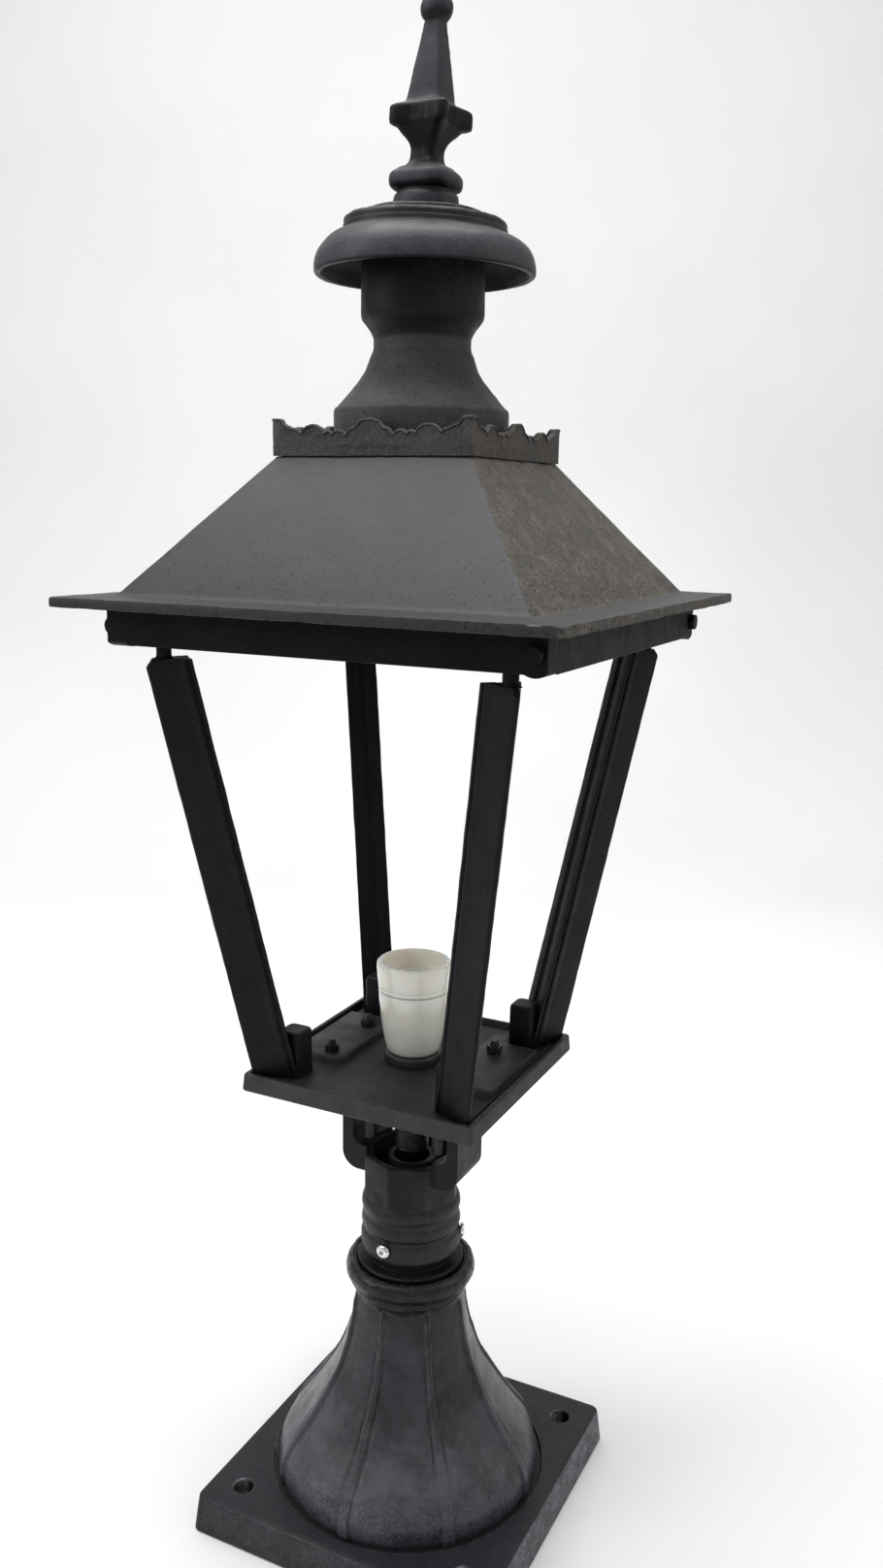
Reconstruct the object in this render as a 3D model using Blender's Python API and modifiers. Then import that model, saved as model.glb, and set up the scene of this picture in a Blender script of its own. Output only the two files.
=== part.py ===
"""Bollard light: square tapered lantern head on a short ribbed pedestal.

Metres, +Z up, origin at the centre of the base plate's underside. The lantern's four sides face
-Y (front), +X (right), +Y (back) and -X (left).
"""

import math

import bmesh
import bpy
from mathutils import Matrix, Vector

ASSEMBLY = "bollard_light"
MM = 0.001
GAP = 0.3 * MM

# base plate
BASE_HALF_FOOT = 116.0 * MM
BASE_DRAFT = 2.6 * MM
BASE_H = 26.2 * MM
BASE_CORNER_R = 7.0 * MM
BASE_EDGE_R = 1.0 * MM
BASE_HOLE_POS = 89.0 * MM
BASE_HOLE_R = 7.0 * MM
BASE_POCKET_R = 101.0 * MM
BASE_POCKET_D = 2.0 * MM
SOCKET_FLOOR = 6.0 * MM
CABLE_HOLE_R = 23.0 * MM

# pedestal
BELL_SIDES = 8
BELL_FOOT_R = 97.0 * MM
BELL_LIP_Z = 36.0 * MM
BELL_NECK_R = 40.2 * MM
BELL_NECK_Z = 172.0 * MM
BELL_SHOULDER = 3.0 * MM
BELL_WALL = 5.2 * MM
BELL_WALL_FOOT = 6.8 * MM
BELL_BORE_R = 35.4 * MM
RIB_PROUD = 1.8 * MM
RIB_W_FOOT = 8.0 * MM
RIB_W_NECK = 4.5 * MM
PANEL_FLATNESS = 0.55
PANEL_BLEND_H = 60.0 * MM
RING_R = 47.0 * MM
RING_Z = 184.0 * MM
RING_BORE_R = 33.6 * MM
SHOULDER_R = 38.8 * MM
SHOULDER_Z0 = 187.5 * MM
SHOULDER_Z1 = 194.0 * MM

# post spigot, a 60.3 mm tube
TUBE_R = 30.15 * MM
TUBE_WALL = 3.0 * MM
TUBE_TOP = 245.0 * MM

# head bracket
COLLAR_Z0 = 201.5 * MM
COLLAR_R = 35.9 * MM
COLLAR_RIDGES = (209.0 * MM, 223.0 * MM, 237.0 * MM)
CUP_RIM_Z = 275.0 * MM
CUP_CORNER_R = 35.2 * MM
CUP_BORE_R = 28.5 * MM
CABLE_BOSS_R = 18.6 * MM
CABLE_BOSS_Z = 271.0 * MM
CABLE_BORE_R = 13.2 * MM
ARM_OUT_X = 46.0 * MM
ARM_IN_X = 37.5 * MM
ARM_HALF_Y = 20.0 * MM
ARM_WEB_Z0 = 260.0 * MM
ARM_WEB_Z1 = 279.0 * MM
FLANGE_T = 6.0 * MM
FLANGE_HALF_Y = 34.0 * MM
FLANGE_OUT_X = 62.0 * MM
SET_SCREW_Z = 211.5 * MM
SET_SCREW_ANGLES = (-94.2, 25.8, 145.8)

# lamp tray
TRAY_HALF_FOOT = 86.8 * MM
TRAY_HALF_TOP = 85.8 * MM
TRAY_Z0 = 336.0 * MM
TRAY_Z1 = 348.5 * MM
FLOOR_Z = 345.0 * MM
CHANNEL_Z = 343.2 * MM
CHANNEL_OUT = 82.6 * MM
CHANNEL_IN = 77.3 * MM
PAD_Z = 350.0 * MM
PAD_X = (38.0 * MM, 76.5 * MM)
PAD_Y = (-36.0 * MM, 57.0 * MM)
BOLT_X = 51.5 * MM
BOLT_Y = 26.0 * MM

# corner bars
BAR_FOOT_HALF = 81.1 * MM
BAR_TAPER = 0.1605
BAR_Z0 = 345.3 * MM
BAR_Z1 = 633.0 * MM
BAR_DEPTH = 29.0 * MM
TENON_POS = 118.0 * MM
TENON_R = 4.8 * MM
TENON_TOP = 655.0 * MM
BOSS_POS = 60.0 * MM
BOSS_HALF = 9.2 * MM
BOSS_TOP = 377.0 * MM

# top rails
RAIL_Z0 = 641.4 * MM
RAIL_Z1 = 664.8 * MM
RAIL_T = 15.0 * MM
RAIL_OUT_Y = 136.5 * MM
RAIL_OUT_X = 147.0 * MM
RAIL_BOLT_INSET = 7.7 * MM
RAIL_BOLT_Z = 652.5 * MM
RAIL_END_R = 12.3 * MM

# roof
EAVE_HALF = 166.4 * MM
EAVE_Z0 = 665.1 * MM
EAVE_Z1 = 671.2 * MM
ROOF_FOOT_HALF = 136.7 * MM
ROOF_TOP_HALF = 67.6 * MM
ROOF_TOP_Z = 757.3 * MM
ROOF_WALL = 4.2 * MM
VENT_R = 46.0 * MM
VENT_HALF = 30.0 * MM
GALLERY_HALF = 68.3 * MM
GALLERY_WALL = 4.0 * MM
GALLERY_Z0 = 757.6 * MM
GALLERY_Z1 = 780.5 * MM
# scallops of the gallery: distance from the middle, half width, height, drop at the sides (mm)
CREST_LOBES = (
    (0.0, 9.5, 21.8, 3.6),
    (14.5, 5.5, 17.6, 1.6),
    (26.5, 5.0, 17.2, 2.4),
    (39.5, 7.5, 18.6, 3.0),
    (54.0, 8.5, 19.2, 2.4),
)

# chimney, cowl and finial
STACK_Z0 = 757.6 * MM
STACK_TOP = 884.0 * MM
STACK_R = 39.1 * MM
STACK_WAIST_R = 31.0 * MM
STACK_FOOT_R = 56.1 * MM
COWL_RIM_R = 69.7 * MM
COWL_RIM_Z = 869.5 * MM
COWL_SEAT_Z = 888.3 * MM
SPIDER_Z = 876.0 * MM
FINIAL_Z0 = 912.6 * MM
FINIAL_BALL_Z = 1023.5 * MM
FINIAL_BALL_R = 10.0 * MM
FINIAL_LEAN = 0.055
FINIAL_LEAN_DIR = math.radians(27.0)
ROD_R = 4.2 * MM
ROD_TOP = 933.0 * MM

# lamp holder
HOLDER_R = 26.3 * MM
HOLDER_TOP = 418.4 * MM
HOLDER_SPLIT = 397.6 * MM
HOLDER_FOOT = 352.3 * MM
HOLDER_DECK = 365.0 * MM
SHELL_TURNS = 3
SHELL_PITCH = 7.0 * MM
SEAT_R = 20.0 * MM
SEAT_TOP = 352.0 * MM
GLAND_R = 12.0 * MM
GLAND_Z0 = 278.0 * MM
PILLAR_X = 27.5 * MM
PILLAR_Y = -12.0 * MM
PILLAR_Z0 = 284.0 * MM

# roof hinges
HINGE_Y = 143.5 * MM
HINGE_Z = 657.0 * MM
HINGE_X = 85.0 * MM
HINGE_W = 30.0 * MM
KNUCKLE_R = 4.0 * MM
KNUCKLE_HALF = 6.0 * MM
PIN_R = 1.70 * MM
PIN_HOLE_R = 1.78 * MM

# M6 fasteners
M6_R = 3.0 * MM
M6_HOLE_R = 3.3 * MM
M6_HEX_AF = 10.0 * MM
NUT_H = 5.0 * MM

PARTS = None
TOOLS = None


# --- scene and materials -------------------------------------------------------------------------

def clear_scene():
    for obj in list(bpy.data.objects):
        bpy.data.objects.remove(obj, do_unlink=True)


def make_collections():
    global PARTS, TOOLS
    PARTS = bpy.data.collections.new(ASSEMBLY)
    TOOLS = bpy.data.collections.new(ASSEMBLY + "_tools")
    for col in (PARTS, TOOLS):
        bpy.context.scene.collection.children.link(col)


def principled(name, rgb, roughness, metallic):
    mat = bpy.data.materials.new(name)
    mat.use_nodes = True
    shader = mat.node_tree.nodes["Principled BSDF"]
    shader.inputs["Base Color"].default_value = (rgb[0], rgb[1], rgb[2], 1.0)
    shader.inputs["Roughness"].default_value = roughness
    shader.inputs["Metallic"].default_value = metallic
    mat.diffuse_color = (rgb[0], rgb[1], rgb[2], 1.0)
    return mat


def charcoal_paint(name):
    return principled(name, (0.055, 0.057, 0.062), 0.55, 0.1)


def black_gloss_paint(name):
    return principled(name, (0.022, 0.022, 0.026), 0.32, 0.1)


def black_tube_paint(name):
    return principled(name, (0.015, 0.015, 0.018), 0.45, 0.1)


def zinc(name):
    return principled(name, (0.62, 0.63, 0.62), 0.3, 1.0)


def dark_steel(name):
    return principled(name, (0.11, 0.11, 0.12), 0.5, 0.8)


def porcelain(name):
    return principled(name, (0.78, 0.76, 0.68), 0.15, 0.0)


def brass(name):
    return principled(name, (0.72, 0.52, 0.2), 0.3, 1.0)


def black_plastic(name):
    return principled(name, (0.03, 0.03, 0.032), 0.5, 0.0)


# --- building blocks -----------------------------------------------------------------------------

def adopt(obj, material, smooth_deg=35):
    """Put an object among the parts, or among the hidden tools when material is None."""
    if material is None:
        TOOLS.objects.link(obj)
        obj.hide_render = True
        obj.display_type = "WIRE"
        return obj
    PARTS.objects.link(obj)
    obj.data.materials.append(material(obj.name + "_mat"))
    if smooth_deg and obj.type == "MESH" and obj.data.polygons:
        obj.data.shade_smooth()
        obj.data.set_sharp_from_angle(angle=math.radians(smooth_deg))
    return obj


def from_bmesh(name, bm, material, smooth_deg=35):
    bmesh.ops.recalc_face_normals(bm, faces=bm.faces[:])
    mesh = bpy.data.meshes.new(name)
    bm.to_mesh(mesh)
    bm.free()
    return adopt(bpy.data.objects.new(name, mesh), material, smooth_deg)


def cylinder(name, radius, z0, z1, steps=24, material=None):
    bm = bmesh.new()
    middle = Matrix.Translation(Vector((0.0, 0.0, (z0 + z1) / 2.0)))
    bmesh.ops.create_cone(bm, cap_ends=True, segments=steps, radius1=radius, radius2=radius,
                          depth=z1 - z0, matrix=middle)
    return from_bmesh(name, bm, material)


def hexagon(name, across_flats, z0, z1, material=None):
    return cylinder(name, across_flats / math.sqrt(3.0), z0, z1, 6, material)


def box(name, low, high, material=None):
    bm = bmesh.new()
    low = Vector(low)
    high = Vector(high)
    size = high - low
    spread = Matrix.Diagonal((size.x, size.y, size.z, 1.0))
    bmesh.ops.create_cube(bm, size=1.0, matrix=Matrix.Translation((low + high) / 2.0) @ spread)
    return from_bmesh(name, bm, material, 0)


def block(name, half_low, half_high, z0, z1, corner, edge, material=None, segments=3):
    """Square block with draft, rounded upright corners and a rounded upper edge."""
    bm = bmesh.new()
    bmesh.ops.create_cube(bm, size=2.0)
    for v in bm.verts:
        half = half_high if v.co.z > 0.0 else half_low
        v.co = Vector((v.co.x * half, v.co.y * half, z1 if v.co.z > 0.0 else z0))
    middle = (z0 + z1) / 2.0
    upright = [e for e in bm.edges if (e.verts[0].co.z - middle) * (e.verts[1].co.z - middle) < 0]
    bmesh.ops.bevel(bm, geom=upright, offset=corner, offset_type="OFFSET", segments=segments,
                    profile=0.5, affect="EDGES")
    if edge:
        rim = [e for e in bm.edges if min(e.verts[0].co.z, e.verts[1].co.z) > z1 - 1e-6]
        bmesh.ops.bevel(bm, geom=rim, offset=edge, offset_type="OFFSET", segments=2,
                        profile=0.5, affect="EDGES")
    return from_bmesh(name, bm, material)


def turned(name, profile, steps, material, height=0.0, quarter_step=False):
    """Revolve a profile of (radius, z) points about Z, its outer side given bottom to top.

    A profile that starts and ends at radius 0 makes a solid; any other is closed into a ring.
    """
    mesh = bpy.data.meshes.new(name)
    points = [(radius, 0.0, z + height) for radius, z in reversed(profile)]
    edges = [(k, k + 1) for k in range(len(points) - 1)]
    if profile[0][0] > 0.0:
        edges.append((len(points) - 1, 0))
    mesh.from_pydata(points, edges, [])
    obj = adopt(bpy.data.objects.new(name, mesh), material)
    screw = obj.modifiers.new("turn", "SCREW")
    screw.steps = steps
    screw.render_steps = steps
    screw.use_merge_vertices = True
    screw.merge_threshold = 0.00002
    screw.use_smooth_shade = steps > BELL_SIDES
    if quarter_step:
        obj.rotation_euler.z = math.pi / steps
    return obj


def squared(name, profile, material):
    """Four-sided ring from a profile of (half width, z) points."""
    diagonal = [(half * math.sqrt(2.0), z) for half, z in profile]
    return turned(name, diagonal, 4, material, quarter_step=True)


def outlined(name, outline, low, high, plane, material=None, smooth_deg=35):
    """Plate between two levels from a flat outline; plane names the outline's two axes."""
    curve = bpy.data.curves.new(name + "_outline", "CURVE")
    curve.dimensions = "2D"
    curve.fill_mode = "BOTH"
    curve.extrude = (high - low) / 2.0
    spline = curve.splines.new("POLY")
    spline.points.add(len(outline) - 1)
    for point, (u, v) in zip(spline.points, outline):
        point.co = (u, v, 0.0, 1.0)
    spline.use_cyclic_u = True
    flat = bpy.data.objects.new(name + "_outline", curve)
    TOOLS.objects.link(flat)
    bpy.context.view_layer.update()
    graph = bpy.context.evaluated_depsgraph_get()
    mesh = bpy.data.meshes.new_from_object(flat.evaluated_get(graph))
    bpy.data.objects.remove(flat, do_unlink=True)
    bpy.data.curves.remove(curve)
    bm = bmesh.new()
    bm.from_mesh(mesh)
    bpy.data.meshes.remove(mesh)
    bmesh.ops.remove_doubles(bm, verts=bm.verts[:], dist=0.00001)
    middle = (low + high) / 2.0
    for v in bm.verts:
        u, w, t = v.co.x, v.co.y, v.co.z + middle
        v.co = {"XY": (u, w, t), "XZ": (u, t, w), "YZ": (t, u, w)}[plane]
    return from_bmesh(name, bm, material, smooth_deg)


def loft(name, rings, material, smooth_deg=35):
    """Skin equal-length rings of points whose sections differ, and cap both ends."""
    bm = bmesh.new()
    loops = [[bm.verts.new(p) for p in ring] for ring in rings]
    count = len(rings[0])
    for low, high in zip(loops, loops[1:]):
        for i in range(count):
            j = (i + 1) % count
            bm.faces.new((low[i], low[j], high[j], high[i]))
    bm.faces.new(loops[0])
    bm.faces.new(loops[-1])
    return from_bmesh(name, bm, material, smooth_deg)


def place(matrix, *objects):
    for obj in objects:
        obj.matrix_world = matrix @ obj.matrix_world
    return objects[0]


def shifted(x, y, z=0.0):
    return Matrix.Translation(Vector((x, y, z)))


def along(direction, at):
    """Matrix carrying +Z to a direction and the origin to a point."""
    turn = Vector((0.0, 0.0, 1.0)).rotation_difference(Vector(direction).normalized())
    return Matrix.Translation(Vector(at)) @ turn.to_matrix().to_4x4()


def quarter(index):
    return Matrix.Rotation(math.pi / 2.0 * index, 4, "Z")


def boolean(obj, tool, operation):
    mod = obj.modifiers.new(tool.name, "BOOLEAN")
    mod.operation = operation
    mod.solver = "EXACT"
    mod.object = tool
    return tool


def cut(obj, tool):
    return boolean(obj, tool, "DIFFERENCE")


def fuse(obj, tool):
    return boolean(obj, tool, "UNION")


def arc(cx, cy, radius, start_deg, end_deg, count):
    pts = []
    for i in range(count + 1):
        a = math.radians(start_deg + (end_deg - start_deg) * i / count)
        pts.append((cx + radius * math.cos(a), cy + radius * math.sin(a)))
    return pts


# --- pedestal ------------------------------------------------------------------------------------

CORNERS = ((-1, -1), (1, -1), (1, 1), (-1, 1))


def base_plate():
    obj = block("base_plate", BASE_HALF_FOOT, BASE_HALF_FOOT - BASE_DRAFT, 0.0, BASE_H,
                BASE_CORNER_R, BASE_EDGE_R, black_gloss_paint)
    high = BASE_H + 5.0 * MM
    low = -5.0 * MM
    cut(obj, cylinder("tool_base_pocket", BASE_POCKET_R, BASE_H - BASE_POCKET_D, high, 40))
    cut(obj, cylinder("tool_base_socket", TUBE_R + GAP, SOCKET_FLOOR, high, 28))
    cut(obj, cylinder("tool_base_cable", CABLE_HOLE_R, low, high, 20))
    for i, (sx, sy) in enumerate(CORNERS):
        tool = cut(obj, cylinder("tool_base_hole_%d" % i, BASE_HOLE_R, low, high, 16))
        place(shifted(sx * BASE_HOLE_POS, sy * BASE_HOLE_POS), tool)
    return obj


def bell_radius(z):
    """Corner radius of the pedestal's concave flare."""
    lip = BELL_LIP_Z
    if z <= lip:
        return BELL_FOOT_R
    t = (z - lip) / (BELL_NECK_Z - lip)
    shoulder = math.exp(-((t / 0.09) ** 1.6)) * BELL_SHOULDER
    flare = (BELL_FOOT_R - BELL_NECK_R - BELL_SHOULDER) * math.exp(-3.55 * t ** 1.12)
    return BELL_NECK_R + shoulder + flare - 0.9 * MM * t


def bell_heights():
    heights = [BASE_H - BASE_POCKET_D + GAP, BELL_LIP_Z]
    count = 10
    for i in range(1, count + 1):
        heights.append(BELL_LIP_Z + (BELL_NECK_Z - BELL_LIP_Z) * (i / count) ** 1.15)
    return heights


def bell_ring(z):
    """Eight-panelled section with a raised rib on every corner; round at the foot, flatter above."""
    r = bell_radius(z)
    t = (z - BASE_H) / (BELL_NECK_Z - BASE_H)
    w = (RIB_W_FOOT + (RIB_W_NECK - RIB_W_FOOT) * t) / 2.0
    fall = w * math.tan(math.pi / BELL_SIDES)
    rib = [(r - fall, -w), (r + RIB_PROUD, -0.5 * w), (r + RIB_PROUD, 0.5 * w), (r - fall, w)]
    flatness = PANEL_FLATNESS * min(1.0, max(0.0, (z - BELL_LIP_Z) / PANEL_BLEND_H))
    half_turn = math.pi / BELL_SIDES
    for share in (1.0 / 3.0, 2.0 / 3.0):
        a = 2.0 * half_turn * share
        chord = math.cos(half_turn) / math.cos(a - half_turn)
        reach = r * (1.0 - flatness * (1.0 - chord))
        rib.append((reach * math.cos(a), reach * math.sin(a)))
    ring = []
    for k in range(BELL_SIDES):
        turn = Matrix.Rotation(math.tau * k / BELL_SIDES, 4, "Z")
        ring += [tuple(turn @ Vector((x, y, z))) for x, y in rib]
    return ring


def pedestal_bell():
    heights = bell_heights()
    obj = loft("pedestal_bell", [bell_ring(z) for z in heights], black_gloss_paint, 30)
    hollow = [(0.0, 10.0 * MM)]
    for z in [10.0 * MM] + heights[1:] + [180.0 * MM]:
        wall = BELL_WALL if z > 100.0 * MM else BELL_WALL_FOOT
        hollow.append((max(bell_radius(z) - wall, BELL_BORE_R), z))
    hollow.append((0.0, 180.0 * MM))
    cut(obj, turned("tool_bell_hollow", hollow, BELL_SIDES, None))
    profile = [
        (RING_BORE_R, 167.0 * MM), (41.0 * MM, 167.0 * MM), (42.3 * MM, 170.5 * MM),
        (42.5 * MM, 174.4 * MM), (46.2 * MM, 178.6 * MM), (RING_R, RING_Z),
        (46.3 * MM, 188.6 * MM), (44.0 * MM, 191.6 * MM), (40.6 * MM, 191.8 * MM),
        (SHOULDER_R + GAP, 189.6 * MM), (SHOULDER_R + GAP, SHOULDER_Z0 - GAP),
        (RING_BORE_R, SHOULDER_Z0 - GAP),
    ]
    fuse(obj, turned("tool_bell_ring", profile, 32, None))
    return obj


def post_tube():
    profile = [
        (TUBE_R, SOCKET_FLOOR + GAP), (TUBE_R, SHOULDER_Z0), (SHOULDER_R, SHOULDER_Z0),
        (SHOULDER_R, SHOULDER_Z1 - 1.5 * MM), (SHOULDER_R - 2.0 * MM, SHOULDER_Z1),
        (TUBE_R, SHOULDER_Z1), (TUBE_R, TUBE_TOP - 1.0 * MM), (TUBE_R - 1.0 * MM, TUBE_TOP),
        (TUBE_R - TUBE_WALL, TUBE_TOP), (TUBE_R - TUBE_WALL, SOCKET_FLOOR + GAP),
    ]
    return turned("post_tube", profile, 28, black_tube_paint)


# --- head bracket --------------------------------------------------------------------------------

def collar_profile():
    """Outer profile of the three rounded ridges, bottom to top."""
    pts = [(COLLAR_R - 1.0 * MM, COLLAR_Z0), (COLLAR_R - 0.1 * MM, COLLAR_Z0 + 1.6 * MM)]
    half = 4.4 * MM
    for k, mid in enumerate(COLLAR_RIDGES):
        reach = half + (1.6 * MM if k == 0 else 0.0)
        pts.append((COLLAR_R, mid + (0.0 if k else 1.0 * MM)))
        pts.append((COLLAR_R - 0.6 * MM, mid + 0.72 * reach))
        pts.append((COLLAR_R - 1.7 * MM, mid + reach + 1.6 * MM))
        if k < 2:
            pts.append((COLLAR_R - 0.6 * MM, COLLAR_RIDGES[k + 1] - 0.72 * half))
    return pts


def bracket_arm(side):
    """Strap that rises from the cup and turns out into a bolted foot."""
    top = TRAY_Z0 - GAP
    r_out = 13.0 * MM
    r_in = 8.0 * MM
    outline = [(ARM_OUT_X, top - FLANGE_T + 0.5 * MM), (ARM_IN_X, top - FLANGE_T + 0.5 * MM)]
    outline += arc(ARM_IN_X - r_in, ARM_WEB_Z1 + r_in, r_in, 0, -90, 5)
    outline += [(25.5 * MM, ARM_WEB_Z1), (25.5 * MM, ARM_WEB_Z0)]
    outline += arc(ARM_OUT_X - r_out, ARM_WEB_Z0 + r_out, r_out, -90, 0, 6)
    name = "left" if side < 0 else "right"
    pts = [(side * x, z) for x, z in outline]
    arm = outlined("tool_arm_" + name, pts, -ARM_HALF_Y, ARM_HALF_Y, "XZ")
    corner = 6.0 * MM
    plan = [(ARM_IN_X, -FLANGE_HALF_Y)]
    plan += arc(FLANGE_OUT_X - corner, corner - FLANGE_HALF_Y, corner, -90, 0, 3)
    plan += arc(FLANGE_OUT_X - corner, FLANGE_HALF_Y - corner, corner, 0, 90, 3)
    plan += [(ARM_IN_X, FLANGE_HALF_Y)]
    pts = [(side * x, y) for x, y in plan]
    fuse(arm, outlined("tool_arm_foot_" + name, pts, top - FLANGE_T, top, "XY"))
    return arm


def head_bracket():
    profile = [(0.0, COLLAR_Z0)] + collar_profile() + [
        (33.0 * MM, 244.5 * MM), (33.0 * MM, 250.0 * MM), (0.0, 250.0 * MM),
    ]
    obj = turned("head_bracket", profile, 32, charcoal_paint)
    cup = [
        (0.0, 242.6 * MM), (CUP_CORNER_R - 0.6 * MM, 242.6 * MM), (CUP_CORNER_R, 244.0 * MM),
        (CUP_CORNER_R, CUP_RIM_Z - 2.0 * MM), (CUP_CORNER_R - 1.6 * MM, CUP_RIM_Z),
        (0.0, CUP_RIM_Z),
    ]
    fuse(obj, turned("tool_bracket_cup", cup, 8, None))
    for side in (-1, 1):
        fuse(obj, bracket_arm(side))
    bowl = [
        (0.0, 300.0 * MM), (CUP_BORE_R, 300.0 * MM), (CUP_BORE_R, 254.0 * MM),
        (CUP_BORE_R - 1.5 * MM, 252.0 * MM), (CABLE_BOSS_R, 252.0 * MM),
        (CABLE_BOSS_R, CABLE_BOSS_Z - 1.4 * MM), (CABLE_BOSS_R - 1.2 * MM, CABLE_BOSS_Z),
        (0.0, CABLE_BOSS_Z),
    ]
    cut(obj, turned("tool_bracket_bowl", bowl[::-1], 24, None))
    cut(obj, cylinder("tool_bracket_bore", TUBE_R + GAP, 190.0 * MM, TUBE_TOP + 2.0 * GAP, 32))
    cut(obj, cylinder("tool_bracket_cable", CABLE_BORE_R, 240.0 * MM, 290.0 * MM, 20))
    for i, (sx, sy) in enumerate(CORNERS):
        tool = cylinder("tool_bracket_hole_%d" % i, M6_HOLE_R, 320.0 * MM, 340.0 * MM, 12)
        place(shifted(sx * BOLT_X, sy * BOLT_Y), cut(obj, tool))
    for i, angle in enumerate(SET_SCREW_ANGLES):
        tool = cylinder("tool_bracket_tap_%d" % i, M6_HOLE_R, 25.0 * MM, 45.0 * MM, 12)
        place(screw_matrix(angle), cut(obj, tool))
    return obj


def screw_matrix(angle_deg):
    """Frame of a set screw: local +Z points outwards from the post axis."""
    a = math.radians(angle_deg)
    return along((math.cos(a), math.sin(a), 0.0), (0.0, 0.0, SET_SCREW_Z))


def set_screw(index):
    name = "set_screw_%d" % (index + 1)
    tip = TUBE_R + GAP
    seat = COLLAR_R + 0.4 * MM
    head_r = 5.3 * MM
    profile = [
        (0.0, tip), (M6_R - 0.5 * MM, tip), (M6_R, tip + 0.6 * MM), (M6_R, seat), (head_r, seat),
        (head_r, seat + 1.4 * MM), (head_r - 0.9 * MM, seat + 2.5 * MM),
        (head_r - 2.4 * MM, seat + 3.0 * MM), (0.0, seat + 3.0 * MM),
    ]
    obj = turned(name, profile, 16, zinc)
    tool = hexagon("tool_" + name, 3.6 * MM, seat + 1.1 * MM, seat + 5.0 * MM)
    return place(screw_matrix(SET_SCREW_ANGLES[index]), obj, cut(obj, tool))


# --- lamp tray and its fasteners -----------------------------------------------------------------

def tray_pad(side):
    """Raised pad under a pair of bracket nuts, its corners swept in S-curves."""
    x0, x1 = PAD_X
    y0, y1 = PAD_Y
    r = 9.0 * MM
    outline = [(x1, y0 + 2.0 * MM), (x1 - 12.0 * MM, y0 + 2.0 * MM), (x1 - 20.0 * MM, y0)]
    outline += arc(x0 + r, y0 + r, r, 270, 180, 5)
    outline += arc(x0 + r, y1 - r, r, 180, 90, 5)
    outline += [(x0 + 10.5 * MM, y1 - 1.2 * MM), (x0 + 11.6 * MM, y1 - 8.0 * MM)]
    outline += [(x0 + 16.0 * MM, y1 - 11.0 * MM), (x1, y1 - 12.0 * MM)]
    pts = [(side * x, y) for x, y in outline]
    return outlined("tool_tray_pad_%d" % (side + 1), pts, FLOOR_Z - 2.0 * MM, PAD_Z, "XY")


def light_tray():
    obj = block("light_tray", TRAY_HALF_FOOT, TRAY_HALF_TOP, TRAY_Z0, TRAY_Z1, 2.5 * MM,
                0.8 * MM, charcoal_paint, 2)
    high = TRAY_Z1 + 5.0 * MM
    low = TRAY_Z0 - 6.0 * MM
    cut(obj, block("tool_tray_channel", CHANNEL_OUT, CHANNEL_OUT, CHANNEL_Z, high, 0.5 * MM, 0.0,
                   None, 1))
    fuse(obj, block("tool_tray_floor", CHANNEL_IN, CHANNEL_IN, TRAY_Z0 + 3.0 * MM, FLOOR_Z,
                    1.5 * MM, 0.0, None, 1))
    for side in (-1, 1):
        fuse(obj, tray_pad(side))
    cut(obj, cylinder("tool_tray_gland", GLAND_R + GAP, low, high, 24))
    for i, (sx, sy) in enumerate(CORNERS):
        tool = cut(obj, cylinder("tool_tray_bolt_%d" % i, M6_HOLE_R, low, high, 12))
        place(shifted(sx * BOLT_X, sy * BOLT_Y), tool)
        tool = cut(obj, cylinder("tool_tray_foot_%d" % i, M6_HOLE_R, low, high, 12))
        place(shifted(sx * BOSS_POS, sy * BOSS_POS), tool)
    for side in (-1, 1):
        name = "tool_tray_pillar_%d" % (side + 1)
        tool = cut(obj, cylinder(name, 2.8 * MM, low, 342.2 * MM, 12))
        place(shifted(side * PILLAR_X, PILLAR_Y), tool)
    return obj


def bracket_bolt(index, sx, sy):
    under = TRAY_Z0 - GAP - FLANGE_T - GAP
    name = "bracket_bolt_%d" % index
    obj = hexagon(name, M6_HEX_AF, under - 4.0 * MM, under, dark_steel)
    top = PAD_Z + GAP + NUT_H + 3.6 * MM
    shank = fuse(obj, cylinder("tool_" + name, M6_R, under - 1.0 * MM, top, 12))
    return place(shifted(sx * BOLT_X, sy * BOLT_Y), obj, shank)


def bracket_nut(index, sx, sy):
    low = PAD_Z + GAP
    name = "bracket_nut_%d" % index
    obj = hexagon(name, M6_HEX_AF, low, low + NUT_H, dark_steel)
    hole = cut(obj, cylinder("tool_" + name, M6_HOLE_R, low - 2.0 * MM, low + 8.0 * MM, 12))
    return place(shifted(sx * BOLT_X, sy * BOLT_Y), obj, hole)


def foot_screw(index, sx, sy):
    seat = TRAY_Z0 - GAP
    name = "foot_screw_%d" % index
    profile = [
        (0.0, seat - 3.6 * MM), (4.2 * MM, seat - 3.6 * MM), (5.4 * MM, seat - 2.4 * MM),
        (5.4 * MM, seat), (M6_R, seat), (M6_R, BAR_Z0 + 18.0 * MM),
        (M6_R - 0.8 * MM, BAR_Z0 + 19.0 * MM), (0.0, BAR_Z0 + 19.0 * MM),
    ]
    obj = turned(name, profile, 12, dark_steel)
    socket = cut(obj, hexagon("tool_" + name, 4.0 * MM, seat - 6.0 * MM, seat - 1.6 * MM))
    return place(shifted(sx * BOSS_POS, sy * BOSS_POS), obj, socket)


# --- corner bars ---------------------------------------------------------------------------------

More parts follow.
